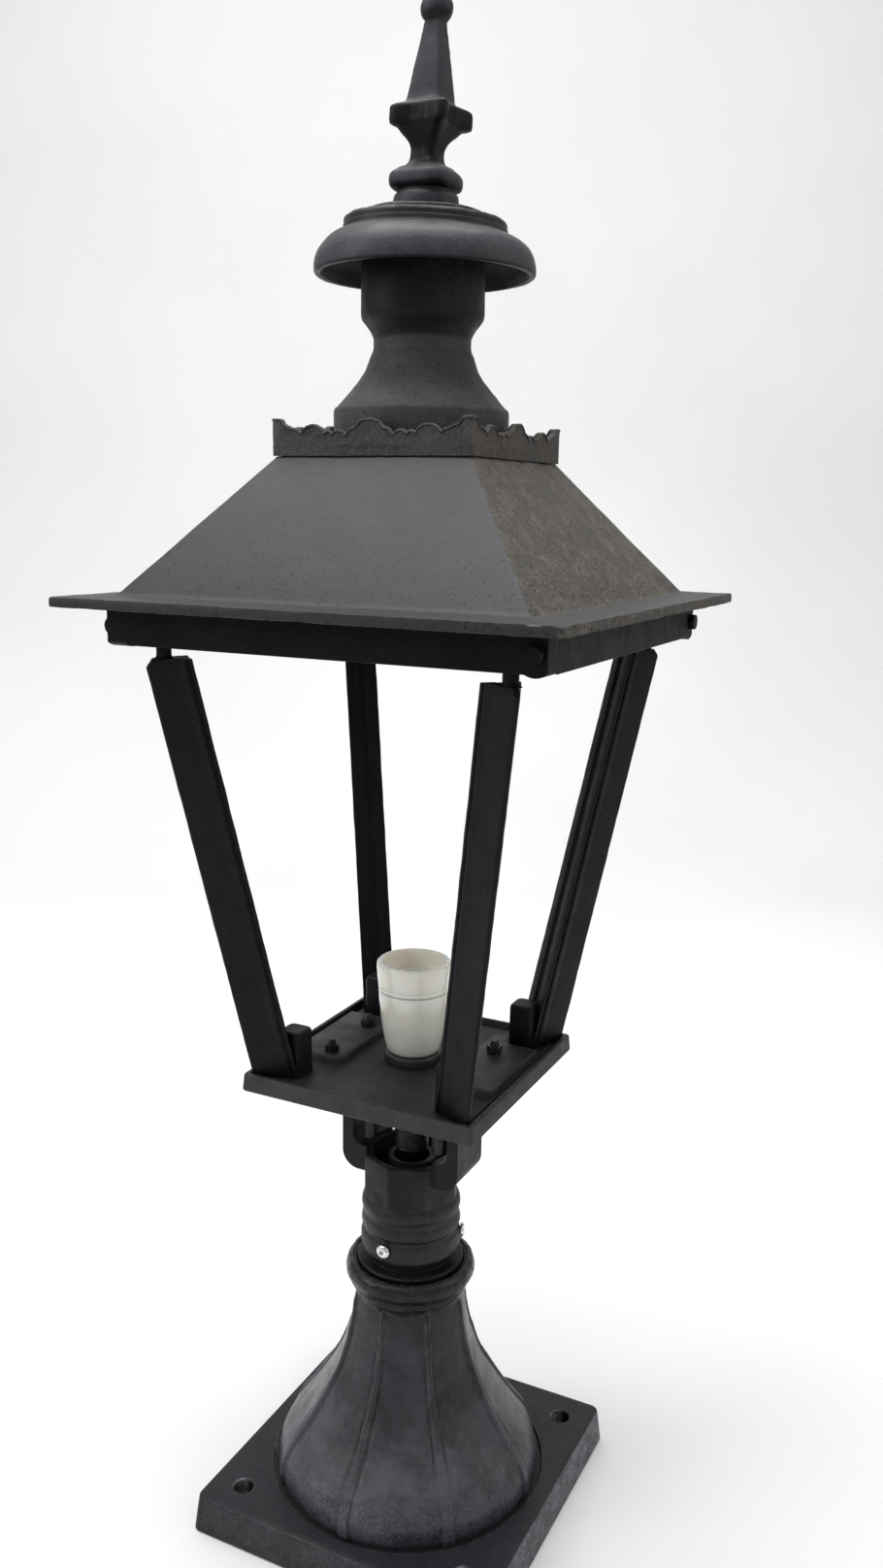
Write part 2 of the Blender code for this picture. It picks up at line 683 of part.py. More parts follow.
def bar_outline():
    """Plan of a corner bar about the front-left corner of the lantern at the bar's foot."""
    half = (
        (0.25 * MM, 0.9 * MM), (1.6 * MM, 1.9 * MM), (19.4 * MM, 8.6 * MM), (24.2 * MM, 11.2 * MM),
        (24.8 * MM, 10.1 * MM), (26.4 * MM, 10.4 * MM), (27.0 * MM, 12.0 * MM),
        (BAR_DEPTH, 12.2 * MM), (BAR_DEPTH, 3.2 * MM), (BAR_DEPTH - 1.6 * MM, 2.6 * MM),
    )
    left = []
    right = []
    for depth, width in half:
        deep = (depth + width) / math.sqrt(2.0)
        shallow = (depth - width) / math.sqrt(2.0)
        left.append((deep - BAR_FOOT_HALF, shallow - BAR_FOOT_HALF))
        right.append((shallow - BAR_FOOT_HALF, deep - BAR_FOOT_HALF))
    return left + right[::-1]


def corner_bar(index):
    """Bar that leans outwards; its nose is cut away under the tenon."""
    name = "corner_bar_%d" % (index + 1)
    obj = outlined(name, bar_outline(), BAR_Z0, BAR_Z1, "XY", charcoal_paint, 25)
    lean = Matrix.Identity(4)
    lean[0][2] = -BAR_TAPER
    lean[1][2] = -BAR_TAPER
    foot = shifted(0.0, 0.0, BAR_Z0)
    obj.data.transform(foot @ lean @ foot.inverted())
    top_half = BAR_FOOT_HALF + BAR_TAPER * (BAR_Z1 - BAR_Z0)
    wedge = box("tool_bar_nose_%d" % index, (-8.0 * MM, -20.0 * MM, -14.0 * MM),
                (0.0, 20.0 * MM, 14.0 * MM))
    tilt = Matrix.Rotation(math.radians(45.0), 4, "Z") @ Matrix.Rotation(math.radians(28.0), 4, "Y")
    place(shifted(-top_half + 4.0 * MM, -top_half + 4.0 * MM, BAR_Z1) @ tilt, wedge)
    cut(obj, wedge)
    tenon = cylinder("tool_tenon_%d" % index, TENON_R, BAR_Z1 - 8.0 * MM, TENON_TOP, 12)
    place(shifted(-TENON_POS, -TENON_POS), fuse(obj, tenon))
    boss = block("tool_boss_%d" % index, BOSS_HALF, BOSS_HALF, BAR_Z0, BOSS_TOP, 3.5 * MM,
                 1.5 * MM, None, 2)
    tap = cylinder("tool_tap_%d" % index, M6_HOLE_R, 340.0 * MM, BAR_Z0 + 20.0 * MM, 12)
    place(shifted(-BOSS_POS, -BOSS_POS), fuse(obj, boss), cut(obj, tap))
    return place(quarter(index), obj, wedge, tenon, boss, tap)


# --- top rails -----------------------------------------------------------------------------------

def rail(index, name, reach, start, out):
    """Rail along +X with its outer face at -Y, turned by quarters; reach is its bolted end."""
    inset = reach - RAIL_BOLT_INSET
    drop = math.degrees(math.asin((RAIL_BOLT_Z - RAIL_Z0 - 0.4 * MM) / RAIL_END_R))
    end = math.degrees(math.acos(RAIL_BOLT_INSET / RAIL_END_R))
    outline = [(start, RAIL_Z0), (start, RAIL_Z1), (reach, RAIL_Z1)]
    outline += arc(inset, RAIL_BOLT_Z, RAIL_END_R, -end, -180.0 + drop, 8)
    obj = outlined(name, outline, -out, -out + RAIL_T, "XZ", charcoal_paint, 30)
    items = [obj]
    if index % 2 == 0:
        for side in (-1, 1):
            tag = "%d_%d" % (index, side + 1)
            low = (side * TENON_POS - 9.5 * MM, -out + RAIL_T - 1.0 * MM, RAIL_Z0)
            high = (side * TENON_POS + 9.5 * MM, -108.5 * MM, RAIL_Z1)
            items.append(fuse(obj, box("tool_lug_" + tag, low, high)))
            hole = cylinder("tool_tenon_hole_" + tag, TENON_R + GAP, RAIL_Z0 - 10.0 * MM,
                            TENON_TOP + 1.0 * MM, 12)
            place(shifted(side * TENON_POS, -TENON_POS), cut(obj, hole))
            items.append(hole)
    through = cylinder("tool_rail_through_%d" % index, M6_HOLE_R, -5.0 * MM, 30.0 * MM, 12)
    place(along((0, 1, 0), (inset, -out, RAIL_BOLT_Z)), cut(obj, through))
    tapped = cylinder("tool_rail_tapped_%d" % index, M6_HOLE_R, -5.0 * MM, 17.5 * MM, 12)
    place(along((1, 0, 0), (start, -out + RAIL_BOLT_INSET, RAIL_BOLT_Z)), cut(obj, tapped))
    items += [through, tapped]
    return place(quarter(index), *items)


def rail_bolt(index, name, reach, out):
    head = hexagon(name, M6_HEX_AF, -4.0 * MM - GAP, -GAP, dark_steel)
    shank = fuse(head, cylinder("tool_" + name, M6_R, -1.0 * MM, RAIL_T + 16.0 * MM, 12))
    spot = along((0, 1, 0), (reach - RAIL_BOLT_INSET, -out, RAIL_BOLT_Z))
    return place(quarter(index) @ spot, head, shank)


# --- roof ----------------------------------------------------------------------------------------

def roof_shell():
    inner_foot = ROOF_FOOT_HALF - 5.4 * MM
    profile = [
        (EAVE_HALF - 0.8 * MM, EAVE_Z0), (EAVE_HALF, EAVE_Z0 + 1.0 * MM),
        (EAVE_HALF, EAVE_Z1 - 1.0 * MM), (EAVE_HALF - 1.2 * MM, EAVE_Z1),
        (ROOF_FOOT_HALF + 1.4 * MM, EAVE_Z1 + 0.9 * MM),
        (ROOF_FOOT_HALF - 0.2 * MM, EAVE_Z1 + 2.4 * MM), (ROOF_TOP_HALF, ROOF_TOP_Z - 0.8 * MM),
        (ROOF_TOP_HALF - 1.0 * MM, ROOF_TOP_Z), (VENT_HALF, ROOF_TOP_Z),
        (VENT_HALF, ROOF_TOP_Z - ROOF_WALL), (ROOF_TOP_HALF - 5.6 * MM, ROOF_TOP_Z - ROOF_WALL),
        (inner_foot, EAVE_Z1 - 0.6 * MM), (inner_foot, EAVE_Z0),
    ]
    obj = squared("roof_shell", profile, charcoal_paint)
    cut(obj, cylinder("tool_roof_vent", VENT_R, ROOF_TOP_Z - 10.0 * MM, ROOF_TOP_Z + 10.0 * MM, 28))
    return obj


def crest_height(u):
    """Height of the gallery's scalloped edge above its foot at a distance from the middle."""
    v = abs(u) / MM
    best = 14.2
    for centre, half, top, fall in CREST_LOBES:
        d = (v - centre) / half
        if abs(d) <= 1.15:
            best = max(best, top - fall * d * d)
    return best * MM


def gallery():
    h = GALLERY_HALF
    profile = [
        (h, GALLERY_Z0), (h, GALLERY_Z1 - 0.8 * MM), (h - 0.8 * MM, GALLERY_Z1),
        (h - GALLERY_WALL, GALLERY_Z1), (h - GALLERY_WALL, GALLERY_Z0),
    ]
    obj = squared("gallery", profile, charcoal_paint)
    reach = 61.0 * MM
    count = 36
    outline = []
    for i in range(count + 1):
        u = -reach + 2.0 * reach * i / count
        outline.append((u, GALLERY_Z0 + crest_height(u)))
    outline += [(reach, GALLERY_Z1 + 9.0 * MM), (-reach, GALLERY_Z1 + 9.0 * MM)]
    for plane in ("XZ", "YZ"):
        cut(obj, outlined("tool_crest_" + plane, outline, -h - 5.0 * MM, h + 5.0 * MM, plane))
    return obj


def chimney():
    wall = 3.4 * MM
    w = STACK_WAIST_R
    profile = [
        (STACK_FOOT_R, STACK_Z0), (STACK_FOOT_R, 787.8 * MM), (STACK_FOOT_R - 1.2 * MM, 789.6 * MM),
        (52.2 * MM, 791.2 * MM), (49.3 * MM, 795.0 * MM), (42.5 * MM, 802.8 * MM),
        (36.6 * MM, 812.0 * MM), (w, 827.0 * MM), (w, 832.0 * MM), (34.0 * MM, 837.6 * MM),
        (38.4 * MM, 842.2 * MM), (STACK_R, 845.6 * MM), (STACK_R, STACK_TOP),
        (STACK_R - wall, STACK_TOP), (STACK_R - wall, 846.6 * MM), (w - wall, 834.0 * MM),
        (w - wall, 825.8 * MM), (39.0 * MM, 800.4 * MM), (48.5 * MM, 788.6 * MM),
        (50.8 * MM, 784.0 * MM), (50.8 * MM, STACK_Z0),
    ]
    obj = turned("chimney", profile, 28, charcoal_paint)
    z0 = SPIDER_Z
    z1 = STACK_TOP - 0.5 * MM
    inner = STACK_R - 1.6 * MM
    bar = 3.0 * MM
    step = 0.2 * MM
    fuse(obj, box("tool_spider_x", (-inner, -bar, z0), (inner, bar, z1)))
    fuse(obj, box("tool_spider_y", (-bar, -inner, z0 + step), (bar, inner, z1 - step)))
    fuse(obj, cylinder("tool_spider_hub", 9.5 * MM, z0 - 2.0 * step, COWL_SEAT_Z - GAP, 16))
    cut(obj, cylinder("tool_spider_hole", ROD_R + GAP, z0 - 9.0 * MM, 900.0 * MM, 12))
    return obj


def cowl():
    profile = [
        (COWL_RIM_R - 0.8 * MM, COWL_RIM_Z), (COWL_RIM_R, COWL_RIM_Z + 1.4 * MM),
        (COWL_RIM_R - 0.1 * MM, 874.2 * MM), (68.2 * MM, 880.0 * MM), (63.6 * MM, 887.6 * MM),
        (57.0 * MM, 892.4 * MM), (51.6 * MM, 895.2 * MM), (51.4 * MM, 901.6 * MM),
        (49.6 * MM, 903.8 * MM), (39.2 * MM, 905.2 * MM), (38.6 * MM, 906.4 * MM),
        (38.4 * MM, 908.6 * MM), (21.2 * MM, 912.2 * MM), (ROD_R + GAP, 912.3 * MM),
        (ROD_R + GAP, COWL_SEAT_Z), (11.0 * MM, COWL_SEAT_Z), (12.0 * MM, 897.0 * MM),
        (42.0 * MM, 894.6 * MM), (56.6 * MM, 887.4 * MM), (63.4 * MM, 879.2 * MM),
        (65.6 * MM, COWL_RIM_Z),
    ]
    return turned("cowl", profile, 32, charcoal_paint)


def finial_ring(z, half, power, ears=0.0):
    """Squarish section, leaning with height as the casting does."""
    shift = FINIAL_LEAN * (z - FINIAL_Z0)
    cx = shift * math.cos(FINIAL_LEAN_DIR)
    cy = shift * math.sin(FINIAL_LEAN_DIR)
    ring = []
    count = 24
    for i in range(count):
        a = math.tau * i / count
        c = abs(math.cos(a)) ** power + abs(math.sin(a)) ** power
        r = half / c ** (1.0 / power)
        r *= 1.0 + ears * (0.5 - 0.5 * math.cos(4.0 * a)) ** 3
        ring.append((cx + r * math.cos(a), cy + r * math.sin(a), z))
    return ring


def finial():
    """Round plinth, cushion, neck, eared crown, tapering spire and ball."""
    levels = (
        (FINIAL_Z0, 20.0, 2.0, 0.0), (916.4 * MM, 19.8, 2.0, 0.0), (918.0 * MM, 18.6, 2.2, 0.0),
        (920.4 * MM, 19.0, 3.4, 0.0), (923.0 * MM, 19.9, 3.8, 0.0), (926.6 * MM, 19.9, 3.8, 0.0),
        (931.4 * MM, 16.6, 3.8, 0.0), (934.6 * MM, 10.9, 4.4, 0.0), (938.2 * MM, 8.9, 5.0, 0.0),
        (944.0 * MM, 8.8, 5.0, 0.0), (949.6 * MM, 12.2, 4.0, 0.06), (954.6 * MM, 14.6, 3.8, 0.22),
        (957.2 * MM, 15.6, 3.8, 0.38), (965.4 * MM, 15.8, 3.8, 0.40), (968.0 * MM, 14.6, 3.8, 0.30),
        (970.0 * MM, 12.4, 6.0, 0.0), (1016.0 * MM, 5.5, 6.0, 0.0),
    )
    rings = [finial_ring(z, half * MM, power, ears) for z, half, power, ears in levels]
    for deg in (-38, -8, 22, 52):
        a = math.radians(deg)
        r = FINIAL_BALL_R * math.cos(a)
        rings.append(finial_ring(FINIAL_BALL_Z + FINIAL_BALL_R * math.sin(a), r, 2.0))
    rings.append(finial_ring(FINIAL_BALL_Z + 0.99 * FINIAL_BALL_R, 2.0 * MM, 2.0))
    obj = loft("finial", rings, charcoal_paint, 38)
    cut(obj, cylinder("tool_finial_hole", ROD_R + GAP, 905.0 * MM, ROD_TOP + 1.0 * MM, 12))
    return obj


def finial_rod():
    return cylinder("finial_rod", ROD_R, 862.0 * MM, ROD_TOP, 12, dark_steel)


def rod_nut():
    top = SPIDER_Z - 0.4 * MM - GAP
    obj = hexagon("rod_nut", 13.0 * MM, top - 6.4 * MM, top, dark_steel)
    cut(obj, cylinder("tool_rod_nut", ROD_R + GAP, top - 9.0 * MM, top + 3.0 * MM, 12))
    return obj


# --- lamp holder and cable entry -----------------------------------------------------------------

def holder_seat():
    profile = [
        (GLAND_R + GAP, FLOOR_Z + GAP), (SEAT_R, FLOOR_Z + GAP), (SEAT_R, SEAT_TOP - 1.4 * MM),
        (SEAT_R - 1.2 * MM, SEAT_TOP), (GLAND_R + GAP, SEAT_TOP),
    ]
    return turned("holder_seat", profile, 24, black_plastic)


def holder_body():
    profile = [
        (17.6 * MM, HOLDER_FOOT), (18.9 * MM, 353.6 * MM), (20.1 * MM, 358.5 * MM),
        (21.9 * MM, 368.0 * MM), (23.5 * MM, 380.0 * MM), (24.5 * MM, 391.0 * MM),
        (24.8 * MM, 396.6 * MM), (24.1 * MM, HOLDER_SPLIT - GAP),
        (17.2 * MM, HOLDER_SPLIT - GAP), (16.8 * MM, HOLDER_DECK), (6.0 * MM, HOLDER_DECK),
        (6.0 * MM, HOLDER_FOOT),
    ]
    return turned("holder_body", profile, 24, porcelain)


def holder_ring():
    profile = [
        (24.1 * MM, HOLDER_SPLIT), (24.9 * MM, HOLDER_SPLIT + 0.9 * MM),
        (24.9 * MM, HOLDER_SPLIT + 2.6 * MM), (24.4 * MM, HOLDER_SPLIT + 3.3 * MM),
        (25.3 * MM, HOLDER_SPLIT + 4.2 * MM), (HOLDER_R, HOLDER_TOP - 4.0 * MM),
        (HOLDER_R - 0.7 * MM, HOLDER_TOP - 0.8 * MM), (HOLDER_R - 2.0 * MM, HOLDER_TOP),
        (HOLDER_R - 3.6 * MM, HOLDER_TOP - 0.7 * MM), (21.8 * MM, HOLDER_TOP - 2.6 * MM),
        (21.2 * MM, 406.8 * MM), (20.6 * MM, 406.0 * MM), (16.2 * MM, 406.0 * MM),
        (15.7 * MM, 405.0 * MM), (15.7 * MM, HOLDER_SPLIT),
    ]
    return turned("holder_ring", profile, 24, porcelain)


def screw_shell():
    """Brass lamp thread, drawn as rounded turns in a thin sleeve."""
    z0 = HOLDER_DECK + GAP
    outer = []
    inner = []
    for k in range(2 * SHELL_TURNS + 1):
        z = z0 + 1.0 * MM + k * SHELL_PITCH / 2.0
        wave = 0.45 * MM if k % 2 else -0.45 * MM
        outer.append((14.5 * MM + wave, z))
        inner.append((13.7 * MM + wave, z))
    profile = [(14.6 * MM, z0)] + outer + inner[::-1] + [(13.8 * MM, z0)]
    return turned("screw_shell", profile, 16, brass)


def centre_contact():
    """Sprung brass tongue bridging the wire hole, raised in the middle."""
    z = HOLDER_DECK + GAP
    t = 0.8 * MM
    top = [(-9.5 * MM, z + t), (-6.0 * MM, z + t), (-3.0 * MM, z + 3.4 * MM),
           (3.0 * MM, z + 3.4 * MM), (6.0 * MM, z + t), (9.5 * MM, z + t)]
    low = [(x, max(v - t, z)) for x, v in top]
    return outlined("centre_contact", top + low[::-1], -3.0 * MM, 3.0 * MM, "XZ", brass, 20)


def cable_gland():
    top = SEAT_TOP - 0.4 * MM
    profile = [
        (GLAND_R - 1.2 * MM, GLAND_Z0), (GLAND_R, GLAND_Z0 + 1.2 * MM), (GLAND_R, top),
        (8.5 * MM, top), (8.5 * MM, GLAND_Z0),
    ]
    return turned("cable_gland", profile, 20, dark_steel)


def gland_nut():
    top = TRAY_Z0 - GAP
    obj = hexagon("gland_nut", 30.0 * MM, top - 5.2 * MM, top, dark_steel)
    cut(obj, cylinder("tool_gland_nut", GLAND_R + GAP, top - 9.0 * MM, top + 4.0 * MM, 20))
    return obj


def hanging_pillar(name, side):
    top = TRAY_Z0 - GAP
    obj = hexagon(name, 9.5 * MM, PILLAR_Z0, top, dark_steel)
    stud = fuse(obj, cylinder("tool_" + name, 2.5 * MM, top - 2.0 * MM, 341.8 * MM, 12))
    return place(shifted(side * PILLAR_X, PILLAR_Y), obj, stud)


# --- roof hinges ---------------------------------------------------------------------------------

def knuckle(name, half):
    tool = cylinder(name, KNUCKLE_R, -half, half, 12)
    return place(along((1, 0, 0), (0.0, 0.0, 0.0)), tool)


def knuckle_bore(name):
    tool = cylinder(name, PIN_HOLE_R, -HINGE_W, HINGE_W, 12)
    return place(along((1, 0, 0), (0.0, 0.0, 0.0)), tool)


def hinge_rail_leaf(index, x):
    """Upright leaf on the back rail with the two outer knuckles, drawn about the hinge axis."""
    name = "hinge_rail_leaf_%d" % index
    face = RAIL_OUT_Y + GAP - HINGE_Y
    w = HINGE_W / 2.0
    obj = box(name, (-w, face, -13.0 * MM), (w, face + 2.6 * MM, 3.4 * MM), dark_steel)
    items = [obj]
    inner = KNUCKLE_HALF + GAP
    for side in (-1, 1):
        tag = "%d_%d" % (index, side + 1)
        tool = fuse(obj, knuckle("tool_rail_knuckle_" + tag, (w - inner) / 2.0))
        place(shifted(side * (w + inner) / 2.0, 0.0), tool)
        low = (min(side * inner, side * w), face + 1.0 * MM, -3.0 * MM)
        high = (max(side * inner, side * w), 0.0, 1.0 * MM)
        items += [tool, fuse(obj, box("tool_rail_web_" + tag, low, high))]
    items.append(cut(obj, knuckle_bore("tool_rail_bore_%d" % index)))
    return place(shifted(x, HINGE_Y, HINGE_Z), *items)


def hinge_roof_leaf(index, x):
    """Flat leaf under the eave with the middle knuckle, drawn about the hinge axis."""
    name = "hinge_roof_leaf_%d" % index
    w = HINGE_W / 2.0
    top = EAVE_Z0 - GAP - HINGE_Z
    half = KNUCKLE_HALF
    obj = box(name, (-w, -1.0 * MM, top - 2.7 * MM), (w, 19.5 * MM, top), dark_steel)
    barrel = fuse(obj, knuckle("tool_roof_knuckle_%d" % index, half))
    low = (-half, 0.0, 0.0)
    high = (half, 3.6 * MM, top - 1.0 * MM)
    web = fuse(obj, box("tool_roof_web_%d" % index, low, high))
    bore = cut(obj, knuckle_bore("tool_roof_bore_%d" % index))
    return place(shifted(x, HINGE_Y, HINGE_Z), obj, barrel, web, bore)


def hinge_pin(index, x):
    w = HINGE_W / 2.0 + 1.0 * MM
    obj = cylinder("hinge_pin_%d" % index, PIN_R, -w, w, 12, dark_steel)
    return place(along((1, 0, 0), (x, HINGE_Y, HINGE_Z)), obj)


# --- assembly ------------------------------------------------------------------------------------

def hang_on_hinge(objects):
    """Parent the roof pieces to an empty on the hinge axis, where they already stand."""
    axis = bpy.data.objects.new("roof_hinge_axis", None)
    axis.location = (0.0, HINGE_Y, HINGE_Z)
    PARTS.objects.link(axis)
    for obj in objects:
        obj.parent = axis
        obj.matrix_parent_inverse = shifted(0.0, -HINGE_Y, -HINGE_Z)


def build():
    clear_scene()
    make_collections()
    base_plate()
    pedestal_bell()
    post_tube()
    head_bracket()
    for i in range(len(SET_SCREW_ANGLES)):
        set_screw(i)
    light_tray()
    for i, (sx, sy) in enumerate(CORNERS):
        bracket_bolt(i + 1, sx, sy)
        bracket_nut(i + 1, sx, sy)
        foot_screw(i + 1, sx, sy)
        corner_bar(i)
    long_start = -RAIL_OUT_X + RAIL_T + GAP
    short_start = -RAIL_OUT_Y + RAIL_T + GAP
    sides = (
        ("front", RAIL_OUT_X, long_start, RAIL_OUT_Y),
        ("right", RAIL_OUT_Y, short_start, RAIL_OUT_X),
        ("back", RAIL_OUT_X, long_start, RAIL_OUT_Y),
        ("left", RAIL_OUT_Y, short_start, RAIL_OUT_X),
    )
    for i, (side, reach, start, out) in enumerate(sides):
        rail(i, "rail_" + side, reach, start, out)
        rail_bolt(i, "rail_bolt_" + side, reach, out)
    roof = [roof_shell(), gallery(), chimney(), cowl(), finial(), finial_rod(), rod_nut()]
    holder_seat()
    holder_body()
    holder_ring()
    screw_shell()
    centre_contact()
    cable_gland()
    gland_nut()
    hanging_pillar("pillar_left", -1)
    hanging_pillar("pillar_right", 1)
    for i, x in enumerate((-HINGE_X, HINGE_X)):
        hinge_rail_leaf(i + 1, x)
        roof.append(hinge_roof_leaf(i + 1, x))
        hinge_pin(i + 1, x)
    hang_on_hinge(roof)


build()
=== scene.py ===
"""Looks of the bollard light, a pedestal lantern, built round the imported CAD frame."""

import math

import bmesh
import bpy
from mathutils import Matrix, Vector, noise


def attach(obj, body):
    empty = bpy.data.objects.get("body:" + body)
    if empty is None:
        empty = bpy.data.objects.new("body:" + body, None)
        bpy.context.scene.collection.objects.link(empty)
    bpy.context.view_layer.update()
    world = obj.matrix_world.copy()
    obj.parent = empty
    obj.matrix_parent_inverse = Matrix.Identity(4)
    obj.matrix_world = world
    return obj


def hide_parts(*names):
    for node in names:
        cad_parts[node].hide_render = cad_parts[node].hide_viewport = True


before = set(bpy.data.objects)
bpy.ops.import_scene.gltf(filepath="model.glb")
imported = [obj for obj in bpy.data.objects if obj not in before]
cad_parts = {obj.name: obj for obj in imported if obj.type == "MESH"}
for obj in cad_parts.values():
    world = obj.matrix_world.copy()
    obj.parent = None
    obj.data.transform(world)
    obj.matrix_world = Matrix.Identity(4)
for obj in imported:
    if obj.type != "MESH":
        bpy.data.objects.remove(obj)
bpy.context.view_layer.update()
MM = 0.001

# camera: lens in mm, place in metres, angles in degrees
CAMERA_SENSOR = 36.0
CAMERA_LENS = 30.0519802
CAMERA_AT = (0.3994, -0.7738, 0.7272)
CAMERA_AZIMUTH = 27.3
CAMERA_YAW = 1.11
CAMERA_PITCH = 11.88
CAMERA_ROLL = 0.98

# places of fasteners, as distances from the middle planes
ANCHOR_AT = 0.089
TRAY_BOLT_X = 0.0515
TRAY_BOLT_Y = 0.026
FOOT_SCREW_AT = 0.060
PILLAR_X = 0.0275
PILLAR_Y = -0.012
TENON_AT = 0.118
SET_SCREW_Z = 0.2115
SCREW_ANGLES = (-94.2, 25.8, 145.8)
CORNERS = ((-1, -1), (1, -1), (1, 1), (-1, 1))
M6_HOLE_R = 3.3 * MM
M6_SHANK_R = 2.95 * MM


# --- camera

def camera():
    """View from the front right, from the height of the roof, looking slightly down."""
    az, yaw = math.radians(CAMERA_AZIMUTH), math.radians(CAMERA_YAW)
    pitch, roll = math.radians(CAMERA_PITCH), math.radians(CAMERA_ROLL)
    fwd0 = Vector((-math.sin(az), math.cos(az), 0.0))
    right0 = Vector((math.cos(az), math.sin(az), 0.0))
    up0 = Vector((0.0, 0.0, 1.0))
    fwd1 = fwd0 * math.cos(yaw) + right0 * math.sin(yaw)
    right1 = right0 * math.cos(yaw) - fwd0 * math.sin(yaw)
    fwd = fwd1 * math.cos(pitch) - up0 * math.sin(pitch)
    up1 = up0 * math.cos(pitch) + fwd1 * math.sin(pitch)
    right = right1 * math.cos(roll) + up1 * math.sin(roll)
    up = up1 * math.cos(roll) - right1 * math.sin(roll)
    data = bpy.data.cameras.new("camera")
    data.sensor_fit = "VERTICAL"
    data.sensor_height = CAMERA_SENSOR
    data.lens = CAMERA_LENS
    data.clip_start = 0.05
    data.clip_end = 50.0
    cam = bpy.data.objects.new("camera", data)
    bpy.context.scene.collection.objects.link(cam)
    turn = Matrix((right, up, -fwd)).transposed().to_4x4()
    cam.matrix_world = Matrix.Translation(CAMERA_AT) @ turn
    bpy.context.scene.camera = cam


# --- mesh tools

def rounded(points, radius, count=3, closed=False):
    """Round the corners of a polyline; a point may carry its own radius as a third number."""
    total = len(points)
    out = []
    for i, p in enumerate(points):
        here = Vector(p[:2])
        r = p[2] if len(p) > 2 else radius
        if (not closed and i in (0, total - 1)) or r <= 0.0:
            out.append((here.x, here.y))
            continue
        before = Vector(points[i - 1][:2])
        after = Vector(points[(i + 1) % total][:2])
        a = before - here
        b = after - here
        if a.length < 1e-7 or b.length < 1e-7:
            out.append((here.x, here.y))
            continue
        ra = min(r, 0.48 * a.length)
        rb = min(r, 0.48 * b.length)
        start = here + a.normalized() * ra
        end = here + b.normalized() * rb
        for k in range(count + 1):
            t = k / count
            q = start * (1 - t) ** 2 + here * 2 * t * (1 - t) + end * t ** 2
            out.append((q.x, q.y))
    return out


def round_square(half, radius, z, per_corner=6, per_side=1):
    """Rounded square ring; per_side spans along each side let it be roughened."""
    corners = []
    for cx, cy, start in ((1, 1, 0), (-1, 1, 90), (-1, -1, 180), (1, -1, 270)):
        angles = [math.radians(start + 90.0 * i / per_corner) for i in range(per_corner + 1)]
        corners.append([(cx * (half - radius) + radius * math.cos(a),
                         cy * (half - radius) + radius * math.sin(a)) for a in angles])
    ring = []
    for k, points in enumerate(corners):
        (x0, y0), (x1, y1) = points[-1], corners[(k + 1) % 4][0]
        for i in range(1, per_side):
            t = i / per_side
            points = points + [(x0 + (x1 - x0) * t, y0 + (y1 - y0) * t)]
        ring += [(x, y, z) for x, y in points]
    return ring


def circle(radius, z, steps, first=0.0):
    """Ring round the axis; first is the first point's place, in steps."""
    angles = [math.tau * (i + first) / steps for i in range(steps)]
    return [(radius * math.cos(a), radius * math.sin(a), z) for a in angles]


def arc(cx, cy, radius, start_deg, end_deg, count):
    pts = []
    for i in range(count + 1):
        a = math.radians(start_deg + (end_deg - start_deg) * i / count)
        pts.append((cx + radius * math.cos(a), cy + radius * math.sin(a)))
    return pts


def skin(rings, closed=False, cap=True):
    """bmesh through equal-length rings; closed joins the last ring to the first."""
    bm = bmesh.new()
    loops = [[bm.verts.new(p) for p in ring] for ring in rings]
    count = len(rings[0])
    spans = len(loops) if closed else len(loops) - 1
    for k in range(spans):
        low, high = loops[k], loops[(k + 1) % len(loops)]
        for i in range(count):
            j = (i + 1) % count
            bm.faces.new((low[i], low[j], high[j], high[i]))
    if cap and not closed:
        bm.faces.new(loops[0])
        bm.faces.new(loops[-1])
    bmesh.ops.recalc_face_normals(bm, faces=bm.faces[:])
    return bm


def lathe(profile, steps=96, closed=True):
    """Turned bmesh in metres; an open profile is closed by a cap at each end."""
    return skin([circle(r, z, steps) for r, z in profile], closed=closed)


def turned(profile, steps, radius=0.0, count=3, closed=True):
    """Lathe from (radius, height) points in millimetres, their corners rounded if asked."""
    points = rounded(profile, radius, count, closed) if radius else profile
    return lathe([(r * MM, z * MM) for r, z in points], steps, closed)


def square_stack(levels, per_corner, at=(0.0, 0.0)):
    """Skin through rounded squares, from (half width, height, corner radius) in millimetres."""
    rings = [round_square(h * MM, r * MM, z * MM, per_corner) for h, z, r in levels]
    return skin([[(x + at[0], y + at[1], z) for x, y, z in ring] for ring in rings])


def prism(outline, low, high, plane, layers=1):
    """Outline in the "XY" or "XZ" plane, drawn out along the third axis."""
    rings = []
    for k in range(layers + 1):
        level = low + (high - low) * k / layers
        rings.append([(u, v, level) if plane == "XY" else (u, level, v) for u, v in outline])
    return skin(rings)


def cyl(radius, z0, z1, steps=48, x=0.0, y=0.0, chamfer=0.0):
    """Round bar or cutter, with an optional chamfer at the upper end."""
    levels = [(radius, z0), (radius, z1 - chamfer)]
    if chamfer:
        levels.append((radius - chamfer, z1))
    return skin([[(x + u, y + v, w) for u, v, w in circle(r, z, steps, 0.5)] for r, z in levels])


def brick(low, high):
    x0, y0, z0 = low
    x1, y1, z1 = high
    plan = [(x0, y0), (x1, y0), (x1, y1), (x0, y1)]
    return skin([[(x, y, z) for x, y in plan] for z in (z0, z1)])


def moved(bm, matrix):
    bmesh.ops.transform(bm, matrix=matrix, verts=bm.verts[:])
    return bm


def shift(x, y):
    return Matrix.Translation((x, y, 0.0))


